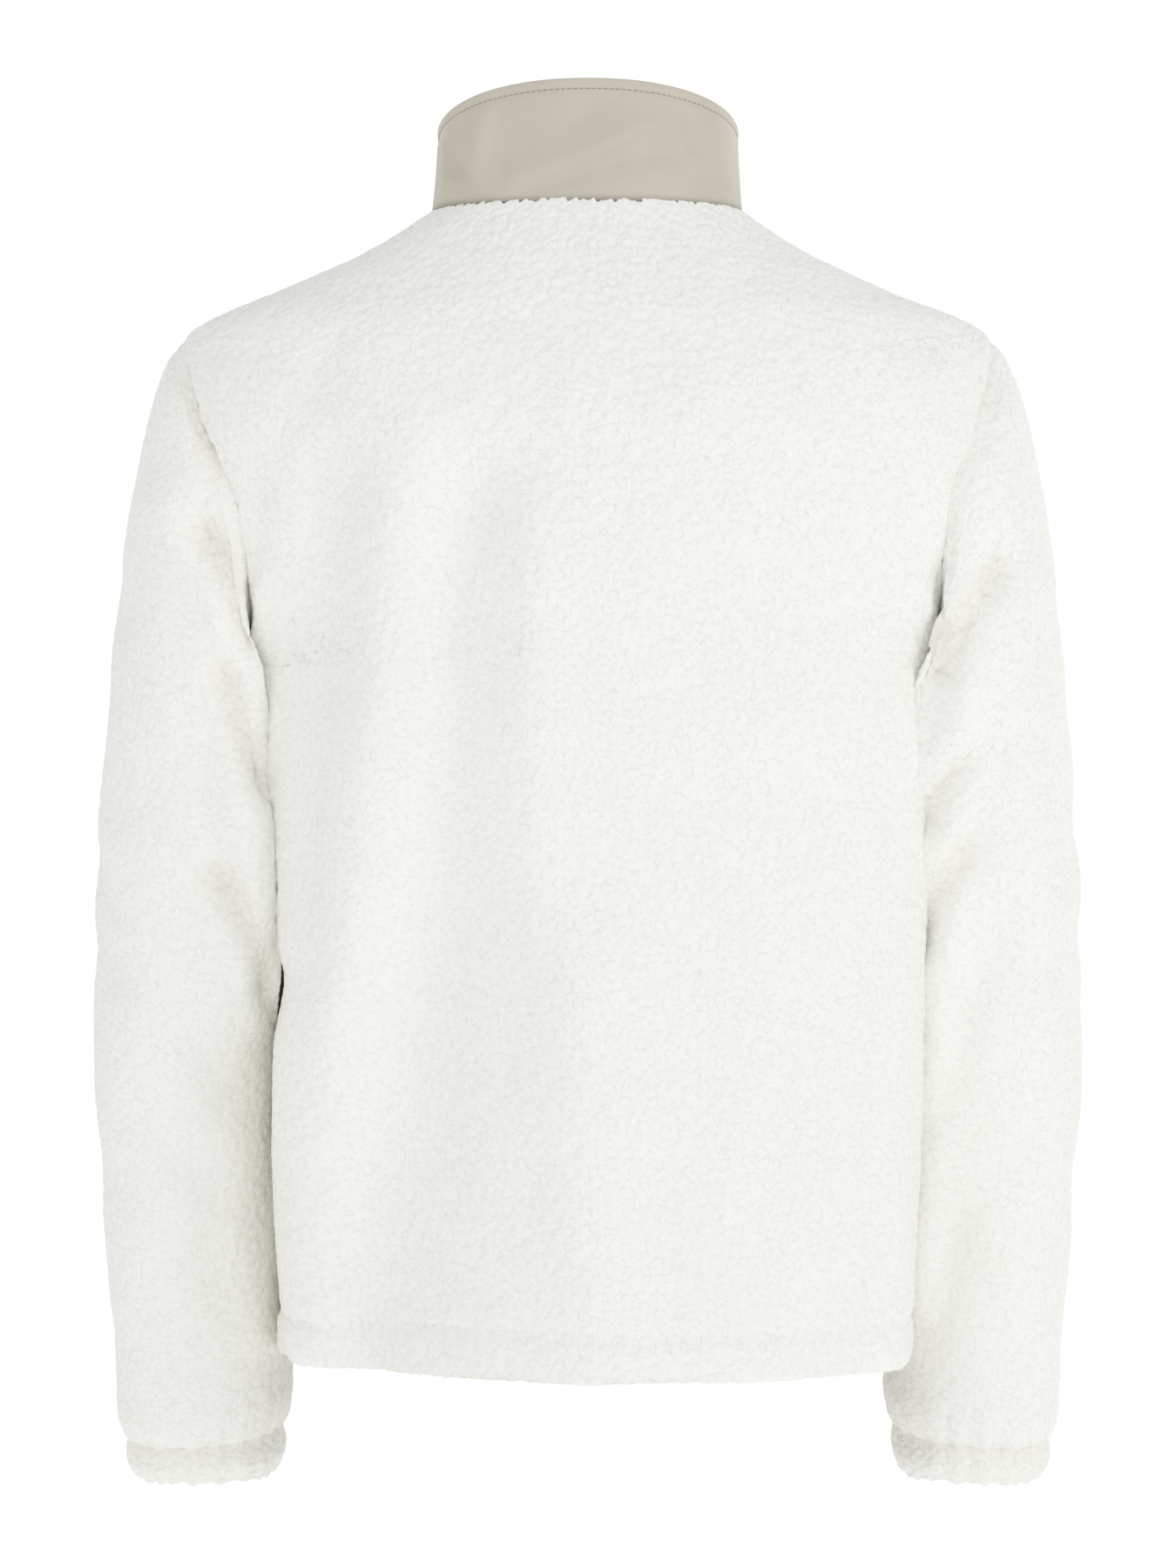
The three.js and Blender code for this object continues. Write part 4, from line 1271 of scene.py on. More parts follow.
def slab(name: str, front: Array, back: Array) -> Object:
    """Closes two grids of the same size into one thin solid, with its rest points.

    Args:
        name: the new object's name.
        front: its front face.
        back: its back face.

    Returns:
        The object.
    """
    index = np.arange(front[..., 0].size).reshape(front.shape[:2])
    face, loop = grid_quads(index), edge_loop(index)
    after = np.roll(loop, -1)
    rim = np.stack([after, loop, loop + index.size, after + index.size], axis=1)
    vertices = np.concatenate([front.reshape(-1, 3), back.reshape(-1, 3)])
    quads = np.concatenate([face, face[:, ::-1] + index.size, rim])
    if signed_volume(vertices, quads) < 0:
        quads = quads[:, ::-1]
    piece = link(name, mesh_from(name, vertices, quads))
    add_attribute(piece.data, "rest_mm", vertices)
    return piece


def arc(x: float, z: float, radius: float, start: float, end: float, count: int = 7) -> list:
    """Points round part of a circle, from one angle in degrees to another."""
    return [(x + radius * math.cos(a), z + radius * math.sin(a))
            for a in np.radians(np.linspace(start, end, count))]


def rounded_plate(outlines: list[list[Pair]], thick: float,
                  edge: float) -> tuple[Array, list]:
    """Makes a flat plate with rounded edges, in the X and Z plane and centred in Y.

    Args:
        outlines: its outline, and any holes.
        thick: its thickness.
        edge: the radius of its edges.

    Returns:
        Its vertices in millimetres and its faces.
    """
    curve = bpy.data.curves.new("plate", "CURVE")
    curve.dimensions = "2D"
    curve.fill_mode = "BOTH"
    curve.extrude = thick / 2 - edge
    curve.bevel_depth = edge
    curve.bevel_resolution = 2
    curve.offset = -edge
    for outline in outlines:
        spline = curve.splines.new("POLY")
        spline.points.add(len(outline) - 1)
        for point, (x, z) in zip(spline.points, outline):
            point.co = (x, z, 0, 1)
        spline.use_cyclic_u = True
    holder = bpy.data.objects.new("plate", curve)
    bpy.context.scene.collection.objects.link(holder)
    graph = bpy.context.evaluated_depsgraph_get()
    made = bpy.data.meshes.new_from_object(holder.evaluated_get(graph))
    vertices = np.array([(v.co.x, -v.co.z, v.co.y) for v in made.vertices])
    faces = [list(p.vertices) for p in made.polygons]
    bpy.data.objects.remove(holder)
    bpy.data.curves.remove(curve)
    bpy.data.meshes.remove(made)
    return vertices, faces


def joined(name: str, parts: list[tuple[Array, list]]) -> Object:
    """Joins some plates into one object, with their doubled corners merged.

    Args:
        name: the new object's name.
        parts: the vertices and faces of each plate.

    Returns:
        The object.
    """
    vertices, polygons, count = [], [], 0
    for points, faces in parts:
        vertices.append(points)
        polygons += [[i + count for i in face] for face in faces]
        count += len(points)
    mesh = mesh_from(name, np.concatenate(vertices), np.zeros((0, 4), int), polygons)
    piece = link(name, mesh)
    welded = bmesh.new()
    welded.from_mesh(mesh)
    bmesh.ops.remove_doubles(welded, verts=welded.verts, dist=1e-6)
    bmesh.ops.recalc_face_normals(welded, faces=welded.faces)
    welded.to_mesh(mesh)
    welded.free()
    mesh.set_sharp_from_angle(angle=HARD_EDGE)
    return piece


def seam_groove(distance: Array, depth: float, half_width: float) -> Array:
    """How deep a seam or a line of stitches draws the cloth in, by the distance from it."""
    return depth * np.exp(-((distance / half_width) ** 2))


@dataclass
class BodyPanels:
    """The back and the two fronts, whose hem is turned up and stitched."""

    wall: float = 4.0
    hem_wall: float = 7.0
    side_rows: int = 176
    armhole_rows: int = 96
    shoulder_rows: int = 64
    back_columns: int = 264
    front_columns: int = 136
    side_groove: Pair = (1.1, 5.0)  # each groove's depth and half width
    hem_groove: Pair = (1.6, 3.2)
    zip_groove: Pair = (1.3, 2.6)
    armhole_pull: float = 0.25  # how much of the seam's depth goes to the armhole's middle
    hem_swell: float = 0.9
    seam_bulge: float = 2.4
    zip_bulge: float = 1.6
    zip_stitch_at: float = 7.0  # from the edge beside the zip
    zip_swell: float = 0.8
    neck_bulge: float = 4.0
    neck_thin: float = 0.45  # how far the inner face goes in at the neck, as a share of the wall
    seam_ragged: float = 0.42
    zip_ragged: float = 0.15
    side_shade: float = 0.3  # how dark the gap beside a sleeve is, as a share
    back_grid: Array = field(init=False)
    front_grids: dict[Side, Array] = field(init=False, default_factory=dict)
    back_middles: Triple = (ARMPIT_Z, -92, BACK_NECK_Z)
    front_middles: Triple = (ARMPIT_Z - 8, -112, FRONT_NECK_Z)
    back_folds: tuple[Fold, ...] = (
        Fold(144, -170, 174, -430, 22, -9.0, bow=2, lean=0.2),
        Fold(104, -155, 134, -400, 22, 4.8, bow=-3), Fold(146, -455, 166, -640, 18, 5.5),
        Fold(67, -175, 82, -385, 22, -13.0, bow=-2, lean=0.1, spread=0.3),
        Fold(90, -440, 141, -690, 40, -29.0, lean=0.3, spread=0.5),
        Fold(28, -190, 30, -400, 17, 3.0, bow=2), Fold(2, -440, -2, -660, 32, 6.5, lean=0.2),
        Fold(-60, -250, -52, -520, 30, -1.6, bow=6),
        Fold(-120, -330, -104, -600, 26, -2.0, bow=-5),
        Fold(-150, -120, -196, -200, 16, -2.2, bow=4),
        Fold(150, -100, 190, -186, 15, -3.0, bow=-4), Fold(186, -226, 171, -415, 12, 8.5),
        Fold(168, -450, 165, -640, 13, 4.5), Fold(-192, -230, -169, -640, 13, 7.0),
    )
    front_folds: tuple[Fold, ...] = (
        Fold(156, -262, 108, -452, 20, -7.2, bow=6, lean=0.2),
        Fold(128, -300, 92, -520, 17, 3.8, bow=4), Fold(84, -420, 72, -640, 26, -6.5, bow=-4),
        Fold(40, -300, 44, -560, 16, 2.6, bow=3), Fold(170, -150, 196, -206, 14, -4.3, bow=-4),
        Fold(-158, -272, -122, -500, 22, -7.2, bow=-6, lean=-0.2),
        Fold(-124, -330, -100, -600, 18, 3.5, bow=5), Fold(-62, -400, -78, -640, 24, 4.3, bow=3),
        Fold(-46, -250, -54, -470, 16, -4.3, bow=-3), Fold(30, -150, 44, -330, 15, -4.1, bow=4),
        Fold(26, -560, 60, -640, 16, -3.5, bow=-3), Fold(-24, -180, -70, -300, 16, -3.2, bow=5),
        Fold(-20, -520, -58, -600, 15, 2.9), Fold(92, -120, 130, -230, 18, -3.8, bow=-6),
        Fold(-96, -116, -126, -216, 17, -3.5, bow=6),
        Fold(-166, -146, -200, -210, 14, -4.3, bow=4),
    )
    back_cut: Cut = Cut(0.557, 0.70, 0.329)
    front_cut: Cut = Cut(0.276, 0.70, 0.159)

    def __post_init__(self) -> None:
        """Works out the flat grids, which the collar and sleeves also need."""
        counts = (self.side_rows, self.armhole_rows, self.shoulder_rows)
        back = []
        for row in FORM.rows(self.back_middles, counts):
            left = FORM.half_row(row, Side.LEFT, Facing.BACK)
            right = FORM.half_row(row, Side.RIGHT, Facing.BACK)[::-1]
            back.append(evenly(np.concatenate([left, right[1:]]), self.back_columns))
        self.back_grid = np.stack(back)
        for side in Side:
            halves = [FORM.half_row(row, side, Facing.FRONT)
                      for row in FORM.rows(self.front_middles, counts)]
            self.front_grids[side] = np.stack([
                evenly(self._cut_at_zip(half), self.front_columns) for half in halves
            ])

    @staticmethod
    def _cut_at_zip(points: Array) -> Array:
        """Cuts a half row short at the edge of the zip.

        Args:
            points: the half row, from the side.

        Returns:
            The points that are left, and one on the edge.
        """
        reach = np.abs(points[:, 0])
        kept = points[reach > ZIP_HALF_GAP]
        after = points[len(kept)]
        share = (abs(kept[-1, 0]) - ZIP_HALF_GAP) / (abs(kept[-1, 0]) - abs(after[0]))
        return np.concatenate([kept, mix(kept[-1], after, share)[None]])

    def front_inside(self, side: Side) -> Array:
        """The inner face of a front before it is folded."""
        flat = self.front_grids[side]
        return flat - grid_normals(flat, False, -side.value) * self._wall(flat[..., 2])[..., None]

    def _wall(self, z: Array) -> Array:
        """How thick the cloth is at a height."""
        stitches = HEM_Z + HEM_DEPTH
        return mix(self.hem_wall, self.wall, smoothstep(z, stitches - 4, stitches + 8))

    def _seam_ways(self, seam: Array) -> Array:
        """The way that the seam at the side of a panel draws the cloth in, with its strength.

        Args:
            seam: the points of the seam.

        Returns:
            A vector for each, as a share of the seam's depth.
        """
        inward = -np.sign(seam) * [1, 0, 0]
        beside = smoothstep(ARMPIT_Z - seam[:, 2], 8, 40)
        return self.armhole_pull * FORM.to_armhole(seam) + inward * beside[:, None]

    def _shaped(self, flat: Array, sign: int, folds: tuple[Fold, ...], both: bool,
                zip_edge: bool) -> tuple[Array, Array, Array]:
        """Moves a flat panel into its folds, seams and hem.

        Args:
            flat: its grid.
            sign: which way its normals face.
            folds: its folds.
            both: whether both side edges are seams.
            zip_edge: whether its last column is at the zip.

        Returns:
            The outer face, the inner face, and the pile's share of lift.
        """
        normal = grid_normals(flat, False, sign)
        across = running_length(flat, 1)
        width = across[:, -1:]
        up = running_length(flat, 0)
        height = up[-1:] - up
        from_seam = np.minimum(across, width - across) if both else across
        held = smoothstep(from_seam, 0, 14) * smoothstep(height, 0, 22)
        fold = held * fold_lift(folds, flat[..., 0], flat[..., 2])
        folded = flat + normal * fold[..., None]
        waver = 0.7 * np.sin(across / 41) + 0.5 * np.sin(across / 17 + 1)
        lift = -seam_groove(up - HEM_DEPTH + waver, *self.hem_groove)
        padded = smoothstep(up, 0, 10)
        lift += self.hem_swell * padded * (1 - smoothstep(up, HEM_DEPTH - 10, HEM_DEPTH - 2))
        if zip_edge:
            lift -= seam_groove(width - across - self.zip_stitch_at, *self.zip_groove)
            lift += self.zip_swell * (1 - smoothstep(width - across, 3, self.zip_stitch_at))
        outer = folded + normal * lift[..., None]
        pull = seam_groove(from_seam, *self.side_groove)[..., None]
        outer += pull * self._seam_ways(flat[:, 0])[:, None] * (across <= width / 2)[..., None]
        if both:
            outer += pull * self._seam_ways(flat[:, -1])[:, None] * (across > width / 2)[..., None]
        normal = grid_normals(folded, False, sign)
        inner = folded - normal * self._wall(folded[..., 2])[..., None]
        share = smoothstep(from_seam, -3, 3) * smoothstep(height, -5, 4)
        if zip_edge:
            share *= smoothstep(width - across, 0, 3)
        return outer, inner, share

    def _painted_shade(self, flat: Array) -> Array:
        """The painted shade on each point in the gap beside a sleeve.

        Args:
            flat: the panel's grid.

        Returns:
            The strength of the painted shade at each, as a share.
        """
        x, z = flat[..., 0], flat[..., 2]
        reach = np.where(x > 0, FORM.reach(Side.LEFT, z), FORM.reach(Side.RIGHT, z))
        near = smoothstep(np.abs(x), reach - 7, reach)
        return self.side_shade * near * smoothstep(ARMPIT_Z - z, -30, 30)

    def build(self, relief: PileRelief, material: Material) -> list[Object]:
        """Builds the back and the fronts.

        Args:
            relief: what lifts the pile.
            material: the fleece's finish.

        Returns:
            The pieces.
        """
        made = []
        jobs = [("fleece_back", "back_panel", self.back_grid, 1, self.back_folds, True, False,
                 self.back_cut)]
        for side in Side:
            low = side.name.lower()
            jobs.append((f"fleece_front_{low}", f"front_{low}", self.front_grids[side],
                         -side.value, self.front_folds, False, True, self.front_cut))
        for name, node, flat, sign, folds, both, zip_edge, cut in jobs:
            outer, inner, share = self._shaped(flat, sign, folds, both, zip_edge)
            trimmed = outer.copy()
            rim = Rim(low=self.hem_wall / 2, high=self.neck_bulge, first=self.seam_bulge,
                      last=self.zip_bulge if zip_edge else self.seam_bulge)
            trimmed[0, :, 2] += rim.low
            inner[0, :, 2] = trimmed[0, :, 2]
            inner[-1] = mix(trimmed[-3], inner[-3], self.neck_thin)
            shell = Shell(trimmed, inner, False, rim, flat, share, self._painted_shade(flat),
                          ragged=self.zip_ragged if zip_edge else self.seam_ragged)
            piece = shell.build(name)
            relief.apply(piece)
            made.append(dress(piece, (node,), material))
        return made


SLEEVE_COLUMNS = ("out_x", "out_z", "in_x", "in_z", "mid_y", "deep", "tilt", "square")


@dataclass
class Sleeve:
    """A sleeve and its elastic cuff, round an arm that hangs down."""

    side: Side
    back_folds: tuple[Fold, ...]
    front_folds: tuple[Fold, ...]
    outside_folds: tuple[Fold, ...]  # seen from the side, by their depth and height
    press: float  # how far the sleeve is pressed to the body beside it
    beside_ends: Pair  # how far down the sleeve it leaves the body
    pinches: tuple[Triple, ...]  # height, half height and share, behind
    rows: int = 300
    columns: int = 204
    wall: float = 4.0
    cuff_wall: float = 5.0
    clearance: float = 0.8
    corner: float = 2.4  # how much squarer the sleeve is beside the body
    sunk: float = 3.4  # how deep its pile and the body's sink into each other
    length: float = 655.0
    cuff_length: float = 26.0
    cuff_rows: int = 24
    cuff_groove: Pair = (0.6, 4.0)  # the depth and half width of the seam at the cuff
    cuff_swell: float = 1.4
    cuff_bulge: float = 1.3
    armhole_bulge: float = 0.5
    cuff_ragged: float = 0.25
    gather: float = 1.1  # how deep the gathers at the cuff's seam are
    seam_dip: float = 1.5
    seam_half_width: float = 7.5
    pinch_dip: float = 2.2
    pinch_half_width: float = 5.0
    side_shade: float = 0.3  # how dark the side by the body is, as a share
    trough_shade: float = 0.34
    pinch_shade: float = 0.45
    sleeve_cut: Cut = Cut(0.574, 0.655, 0.214)
    cuff_cut: Cut = Cut(0.281, 0.027, 0.007)
    sections: SmoothTable = SmoothTable(
        SLEEVE_COLUMNS,
        (0, 228, -69, 189, -262, -1, 80, 0, 2), (20, 238.5, -84, 190, -266, -1, 83, 0, 2.1),
        (50, 249, -112, 188, -275, -2, 84, 1, 2.2), (90, 258, -150, 185, -290, -3, 83, 2, 2.3),
        (135, 266.5, -196, 183, -313, -5, 81, 3, 2.3),
        (195, 274, -255, 181, -346, -8, 79, 4, 2.3),
        (270, 280.5, -330, 179.5, -388, -13, 75, 5, 2.3),
        (345, 285, -406, 178.5, -436, -19, 70, 6, 2.3),
        (425, 286, -486, 178, -494, -28, 64, 8, 2.3),
        (505, 283, -564, 177.5, -558, -40, 58, 9, 2.3),
        (578, 279, -637, 174, -622, -52, 53, 9, 2.3),
        (635, 275, -692, 174.5, -678, -61, 49, 8, 2.3),
        (655, 270, -710, 180, -703, -64, 42, 7, 2.2),
    )
    cuff_sections: SmoothTable = SmoothTable(
        SLEEVE_COLUMNS,
        (0, 270, -710, 180, -703, -64, 42, 7, 2.2),
        (14, 270.5, -723, 180, -716, -66, 42.5, 6, 2.2),
        (26, 267, -733, 183.5, -729, -68, 39.5, 5, 2.2),
    )

    @property
    def label(self) -> str:
        """Left or right, for the names of its pieces."""
        return self.side.name.lower()

    @property
    def turns(self) -> Array:
        """Where its columns lie round the arm, in radians."""
        return np.linspace(0, 2 * math.pi, self.columns, endpoint=False)

    def _section(self, table: SmoothTable, along: Array, turn: Array) -> Array:
        """Points of the arm's sections, clear of the body on the side by it.

        Args:
            table: the sections.
            along: how far down the arm each point is.
            turn: how far round, in radians from the outer side.

        Returns:
            The points.
        """
        at = {name: table(name, along) for name in SLEEVE_COLUMNS}
        c, s = np.cos(turn), np.sin(turn)
        beside = smoothstep(along, 2, 45) * (1 - smoothstep(along, *self.beside_ends))
        square = at["square"] + self.corner * beside * smoothstep(-c, 0, 0.6)
        share = (1 + signed_power(c, 2 / square)) / 2
        deep = at["deep"] * signed_power(s, 2 / square)
        tilt = np.radians(at["tilt"])
        z = mix(at["in_z"], at["out_z"], share) - deep * np.sin(tilt)
        y = at["mid_y"] + deep * np.cos(tilt)
        pressed = self.press * smoothstep(-z, 225, 275) * mix(1, beside, 0.45)
        pressed *= smoothstep(along, 0, 40) * (1 - smoothstep(-z, 560, 640))
        x = mix(at["in_x"] - pressed, at["out_x"], share)
        limit = np.where(z < ARMPIT_Z, FORM.side_reach(self.side, y, z), 0) - self.sunk * beside
        x = (x + limit + np.hypot(x - limit, self.clearance)) / 2
        return np.stack([self.side.value * x, y, z], axis=-1)

    def _armhole(self, turn: Array) -> Array:
        """The armhole's points for turns all the way round it, in radians.

        Args:
            turn: the turns, 0 at the shoulder tip.

        Returns:
            The points, a seam's gap outside the body's.
        """
        degrees = np.degrees(turn)
        back = FORM.armhole_point(self.side, Facing.BACK, np.minimum(degrees, 180))
        front = FORM.armhole_point(self.side, Facing.FRONT, np.clip(360 - degrees, 0, 180))
        points = np.where((degrees <= 180)[:, None], back, front)
        points[:, 0] += self.side.value * SEAM_GAP
        return points

    def flat_grid(self) -> Array:
        """The sleeve's rings before it is folded.

        Returns:
            Rings by columns by 3.
        """
        along = self.length * np.linspace(0, 1, self.rows + 1) ** 1.15
        alongs, turns = np.meshgrid(along, self.turns, indexing="ij")
        grid = self._section(self.sections, alongs, turns)
        misfit = self._armhole(self.turns) - grid[0]
        fade = 1 - smoothstep(along, 0, 120)
        return grid + misfit[None] * fade[:, None, None]

    def build(self, relief: PileRelief, material: Material, band: Material) -> list[Object]:
        """Builds the sleeve and its cuff.

        Args:
            relief: what lifts the pile.
            material: the sleeve's finish.
            band: the cuff's finish.

        Returns:
            The two pieces.
        """
        flat = self.flat_grid()
        sign = -self.side.value
        normal = grid_normals(flat, True, sign)
        along = running_length(flat, 0)
        left = along[-1:] - along
        folded = flat + normal * self._fold(flat, normal, along)[..., None]
        swell = self.cuff_swell * smoothstep(left, 0, 9) * (1 - smoothstep(left, 9, 40))
        outer = folded + normal * (swell - seam_groove(left, *self.cuff_groove))[..., None]
        seam = flat[0]
        pinch = sum(share * np.exp(-(((seam[:, 2] - at) / half) ** 2)) * (seam[:, 1] > 0)
                    for at, half, share in self.pinches)
        dip = seam_groove(along, self.seam_dip + self.pinch_dip * pinch,
                          self.seam_half_width + self.pinch_half_width * pinch)
        outer += dip[..., None] * FORM.to_armhole(seam)[None]
        inner = folded - grid_normals(folded, True, sign) * self.wall
        share = smoothstep(along, -3, 3) * smoothstep(left, -2, 3)
        # Painted shade in the troughs, the pinches at the seam and the gap beside the body.
        hollow = self._painted_shade(flat, normal, along, pinch)
        rim = Rim(low=self.armhole_bulge, high=self.cuff_bulge)
        shell = Shell(outer, inner, True, rim, flat, share, hollow)
        sleeve = shell.build(f"fleece_sleeve_{self.label}")
        relief.apply(sleeve)
        dress(sleeve, (f"sleeve_{self.label}",), material)
        return [sleeve, self._cuff(relief, band)]

    def _fold(self, flat: Array, normal: Array, along: Array) -> Array:
        """How far the folds and the gathers above the cuff lift the sleeve.

        Args:
            flat: its grid.
            normal: the grid's normals.
            along: how far down the sleeve each point is.

        Returns:
            The lift at each point.
        """
        facing, aside = normal[..., 1], self.side.value * normal[..., 0]
        fold = facing_lift(self.back_folds, self.front_folds, flat, facing)
        fold = fold * smoothstep(np.abs(facing), 0, 0.6)
        beside = fold_lift(self.outside_folds, flat[..., 1], flat[..., 2])
        fold += beside * smoothstep(aside, 0.1, 0.7)
        fold *= smoothstep(along, 1, 12)
        reach = 46 + 16 * np.sin(self.turns * 5 + 2)[None]
        fade = 1 - smoothstep(along[-1:] - along, 0, reach)
        return fold + self.gather * self._pucker(self.turns) * fade

    def _painted_shade(self, flat: Array, normal: Array, along: Array, pinch: Array) -> Array:
        """The painted shade in the troughs, in the pinches and in the gap beside the body.

        Args:
            flat: the sleeve's grid.
            normal: the grid's normals.
            along: how far down the sleeve each point is.
            pinch: how much the seam is pinched, round the sleeve.

        Returns:
            The strength of the painted shade at each as a share, the strongest of the three.
        """
        facing = normal[..., 1]
        towards = smoothstep(-self.side.value * normal[..., 0], 0.25, 0.95)
        beside = self.side_shade * towards * smoothstep(along, 60, 300)
        beside *= 1 - smoothstep(along, 600, 655)
        back, front = (tuple(fold for fold in folds if fold.depth < 0)
                       for folds in (self.back_folds, self.front_folds))
        trough = self.trough_shade * smoothstep(-facing_lift(back, front, flat, facing), 3.0, 13)
        trough *= smoothstep(np.abs(facing), 0, 0.5)
        pinched = self.pinch_shade * pinch * seam_groove(along, 1.0, 9.0)
        return np.maximum(np.maximum(beside, trough), pinched)

    @staticmethod
    def _pucker(turn: Array) -> Array:
        """The uneven gathers round the cuff's seam, from -1 to 1."""
        sway = 1.3 * np.sin(turn * 3) + 0.8 * np.sin(turn * 7 + 1)
        return np.sin(turn * 19 + sway) * (0.7 + 0.3 * np.sin(turn * 4 + 2))

    def _cuff(self, relief: PileRelief, material: Material) -> Object:
        """Builds the gathered cuff.

        Args:
            relief: what lifts the pile.
            material: its finish.

        Returns:
            The cuff.
        """
        along = np.linspace(0, self.cuff_length, self.cuff_rows + 1)
        alongs, turns = np.meshgrid(along, self.turns, indexing="ij")
        flat = self._section(self.cuff_sections, alongs, turns)
        flat[..., 2] -= SEAM_GAP
        normal = grid_normals(flat, True, -self.side.value)
        swell = np.sin(math.pi * np.clip(alongs / self.cuff_length, 0, 1))
        lift = self.gather * self._pucker(turns) * (1 - 0.5 * swell) + swell
        outer = flat + normal * (lift - seam_groove(alongs, *self.cuff_groove))[..., None]
        outer[..., 2] += (self.cuff_wall / 2) * smoothstep(alongs, 0, self.cuff_length)
        inner = outer - normal * self.cuff_wall
        share = smoothstep(alongs, -2, 3)
        rim = Rim(low=self.cuff_bulge, high=self.cuff_wall / 2)
        # A faint painted shade along the seam at the top of the cuff.
        hollow = 0.1 * seam_groove(alongs, 1.0, 6.0)
        shell = Shell(outer, inner, True, rim, flat, share, hollow, pile_inside=1.0,
                      ragged=self.cuff_ragged)
        cuff = shell.build(f"fleece_cuff_{self.label}")
        relief.apply(cuff)
        return dress(cuff, (f"cuff_{self.label}",), material)


def left_sleeve() -> Sleeve:
    """Describes the left sleeve, which leaves the body at the elbow.

    Returns:
        The sleeve, not built yet.
    """
    return Sleeve(
        Side.LEFT,
        press=9.0,
        beside_ends=(330, 400),
        pinches=((-128, 30, 1.0), (-206, 20, 0.35)),
        back_folds=(
            Fold(228, -92, 206, -150, 8, -3.5, bow=3, lean=0.3),
            Fold(212, -190, 189, -238, 11, -12.0, bow=3, lean=0.2),
            Fold(240, -176, 212, -240, 13, 3.4, bow=4),
            Fold(200, -268, 182, -322, 10, -12.0, bow=-2),
            Fold(232, -322, 198, -362, 13, -3.5, bow=3),
            Fold(203, -384, 180, -440, 11, -12.0, bow=3, lean=0.2),
            Fold(236, -440, 200, -500, 14, -3.2, bow=-4),
            Fold(254, -520, 214, -560, 13, -2.4, bow=4), Fold(216, -590, 200, -650, 12, -3.0),
            Fold(262, -240, 246, -330, 13, -2.2, bow=3), Fold(200, -224, 188, -420, 13, 9.5),
        ),
        front_folds=(
            Fold(230, -150, 197, -230, 11, -8.0, bow=4, lean=0.3),
            Fold(244, -190, 208, -280, 13, 3.0, bow=4),
            Fold(250, -352, 196, -404, 12, -8.0, bow=-4),
            Fold(258, -412, 204, -438, 12, -6.5, bow=3),
            Fold(250, -470, 208, -520, 14, -3.5, bow=4), Fold(226, -270, 192, -316, 11, -6.5),
            Fold(224, -560, 200, -610, 14, -3.0), Fold(200, -226, 190, -330, 12, 7.0),
        ),
        outside_folds=(
            Fold(-66, -150, 4, -210, 19, -2.2, bow=5),
            Fold(-60, -330, 26, -388, 19, -3.4, bow=-6),
            Fold(-52, -404, 34, -430, 19, -2.8, bow=5), Fold(-30, -360, 30, -356, 16, 1.6),
            Fold(-88, -500, -10, -546, 22, -2.2, bow=4), Fold(-104, -610, -40, -646, 17, -1.8),
            Fold(40, -230, -10, -300, 24, -2.0, bow=-5),
        ),
    )


def right_sleeve() -> Sleeve:
    """Describes the right sleeve, which rests on the body down to the cuff.

    Returns:
        The sleeve, not built yet.
    """
    return Sleeve(
        Side.RIGHT,
        press=11.0,
        beside_ends=(520, 600),
        pinches=((-104, 16, 0.6), (-226, 20, 0.3)),
        back_folds=(
            Fold(-228, -208, -198, -262, 11, -10.0, bow=-3, lean=-0.2),
            Fold(-252, -220, -214, -290, 13, 2.6, bow=-5),
            Fold(-206, -316, -190, -346, 9, -9.0, bow=-2),
            Fold(-208, -368, -188, -412, 10, -10.0, bow=-2, lean=-0.2),
            Fold(-236, -400, -206, -446, 12, -2.8, bow=4),
            Fold(-212, -462, -194, -520, 10, -5.0, bow=3),
            Fold(-244, -540, -210, -580, 13, -2.2, bow=-4),
            Fold(-208, -590, -198, -640, 10, -3.0), Fold(-240, -92, -220, -130, 9, -2.6, bow=-3),
            Fold(-208, -228, -190, -620, 13, 8.0),
        ),
        front_folds=(
            Fold(-228, -158, -201, -236, 11, -8.0, bow=-4, lean=-0.3),
            Fold(-246, -338, -200, -392, 12, -8.0, bow=4),
            Fold(-256, -424, -206, -446, 12, -6.0, bow=-3),
            Fold(-244, -250, -206, -304, 13, -4.5), Fold(-250, -490, -210, -530, 14, -3.5, bow=4),
            Fold(-208, -228, -192, -330, 12, 7.0),
        ),
        outside_folds=(
            Fold(-60, -170, 10, -226, 20, -2.0, bow=4),
            Fold(-62, -318, 20, -366, 19, -3.2, bow=-5),
            Fold(-56, -388, 30, -424, 19, -3.2, bow=6), Fold(-40, -452, 20, -458, 17, -1.6),
            Fold(-84, -530, -8, -566, 21, -2.2, bow=-4), Fold(-106, -620, -46, -648, 17, -1.7),
            Fold(36, -250, -6, -310, 22, -2.1, bow=5),
        ),
    )


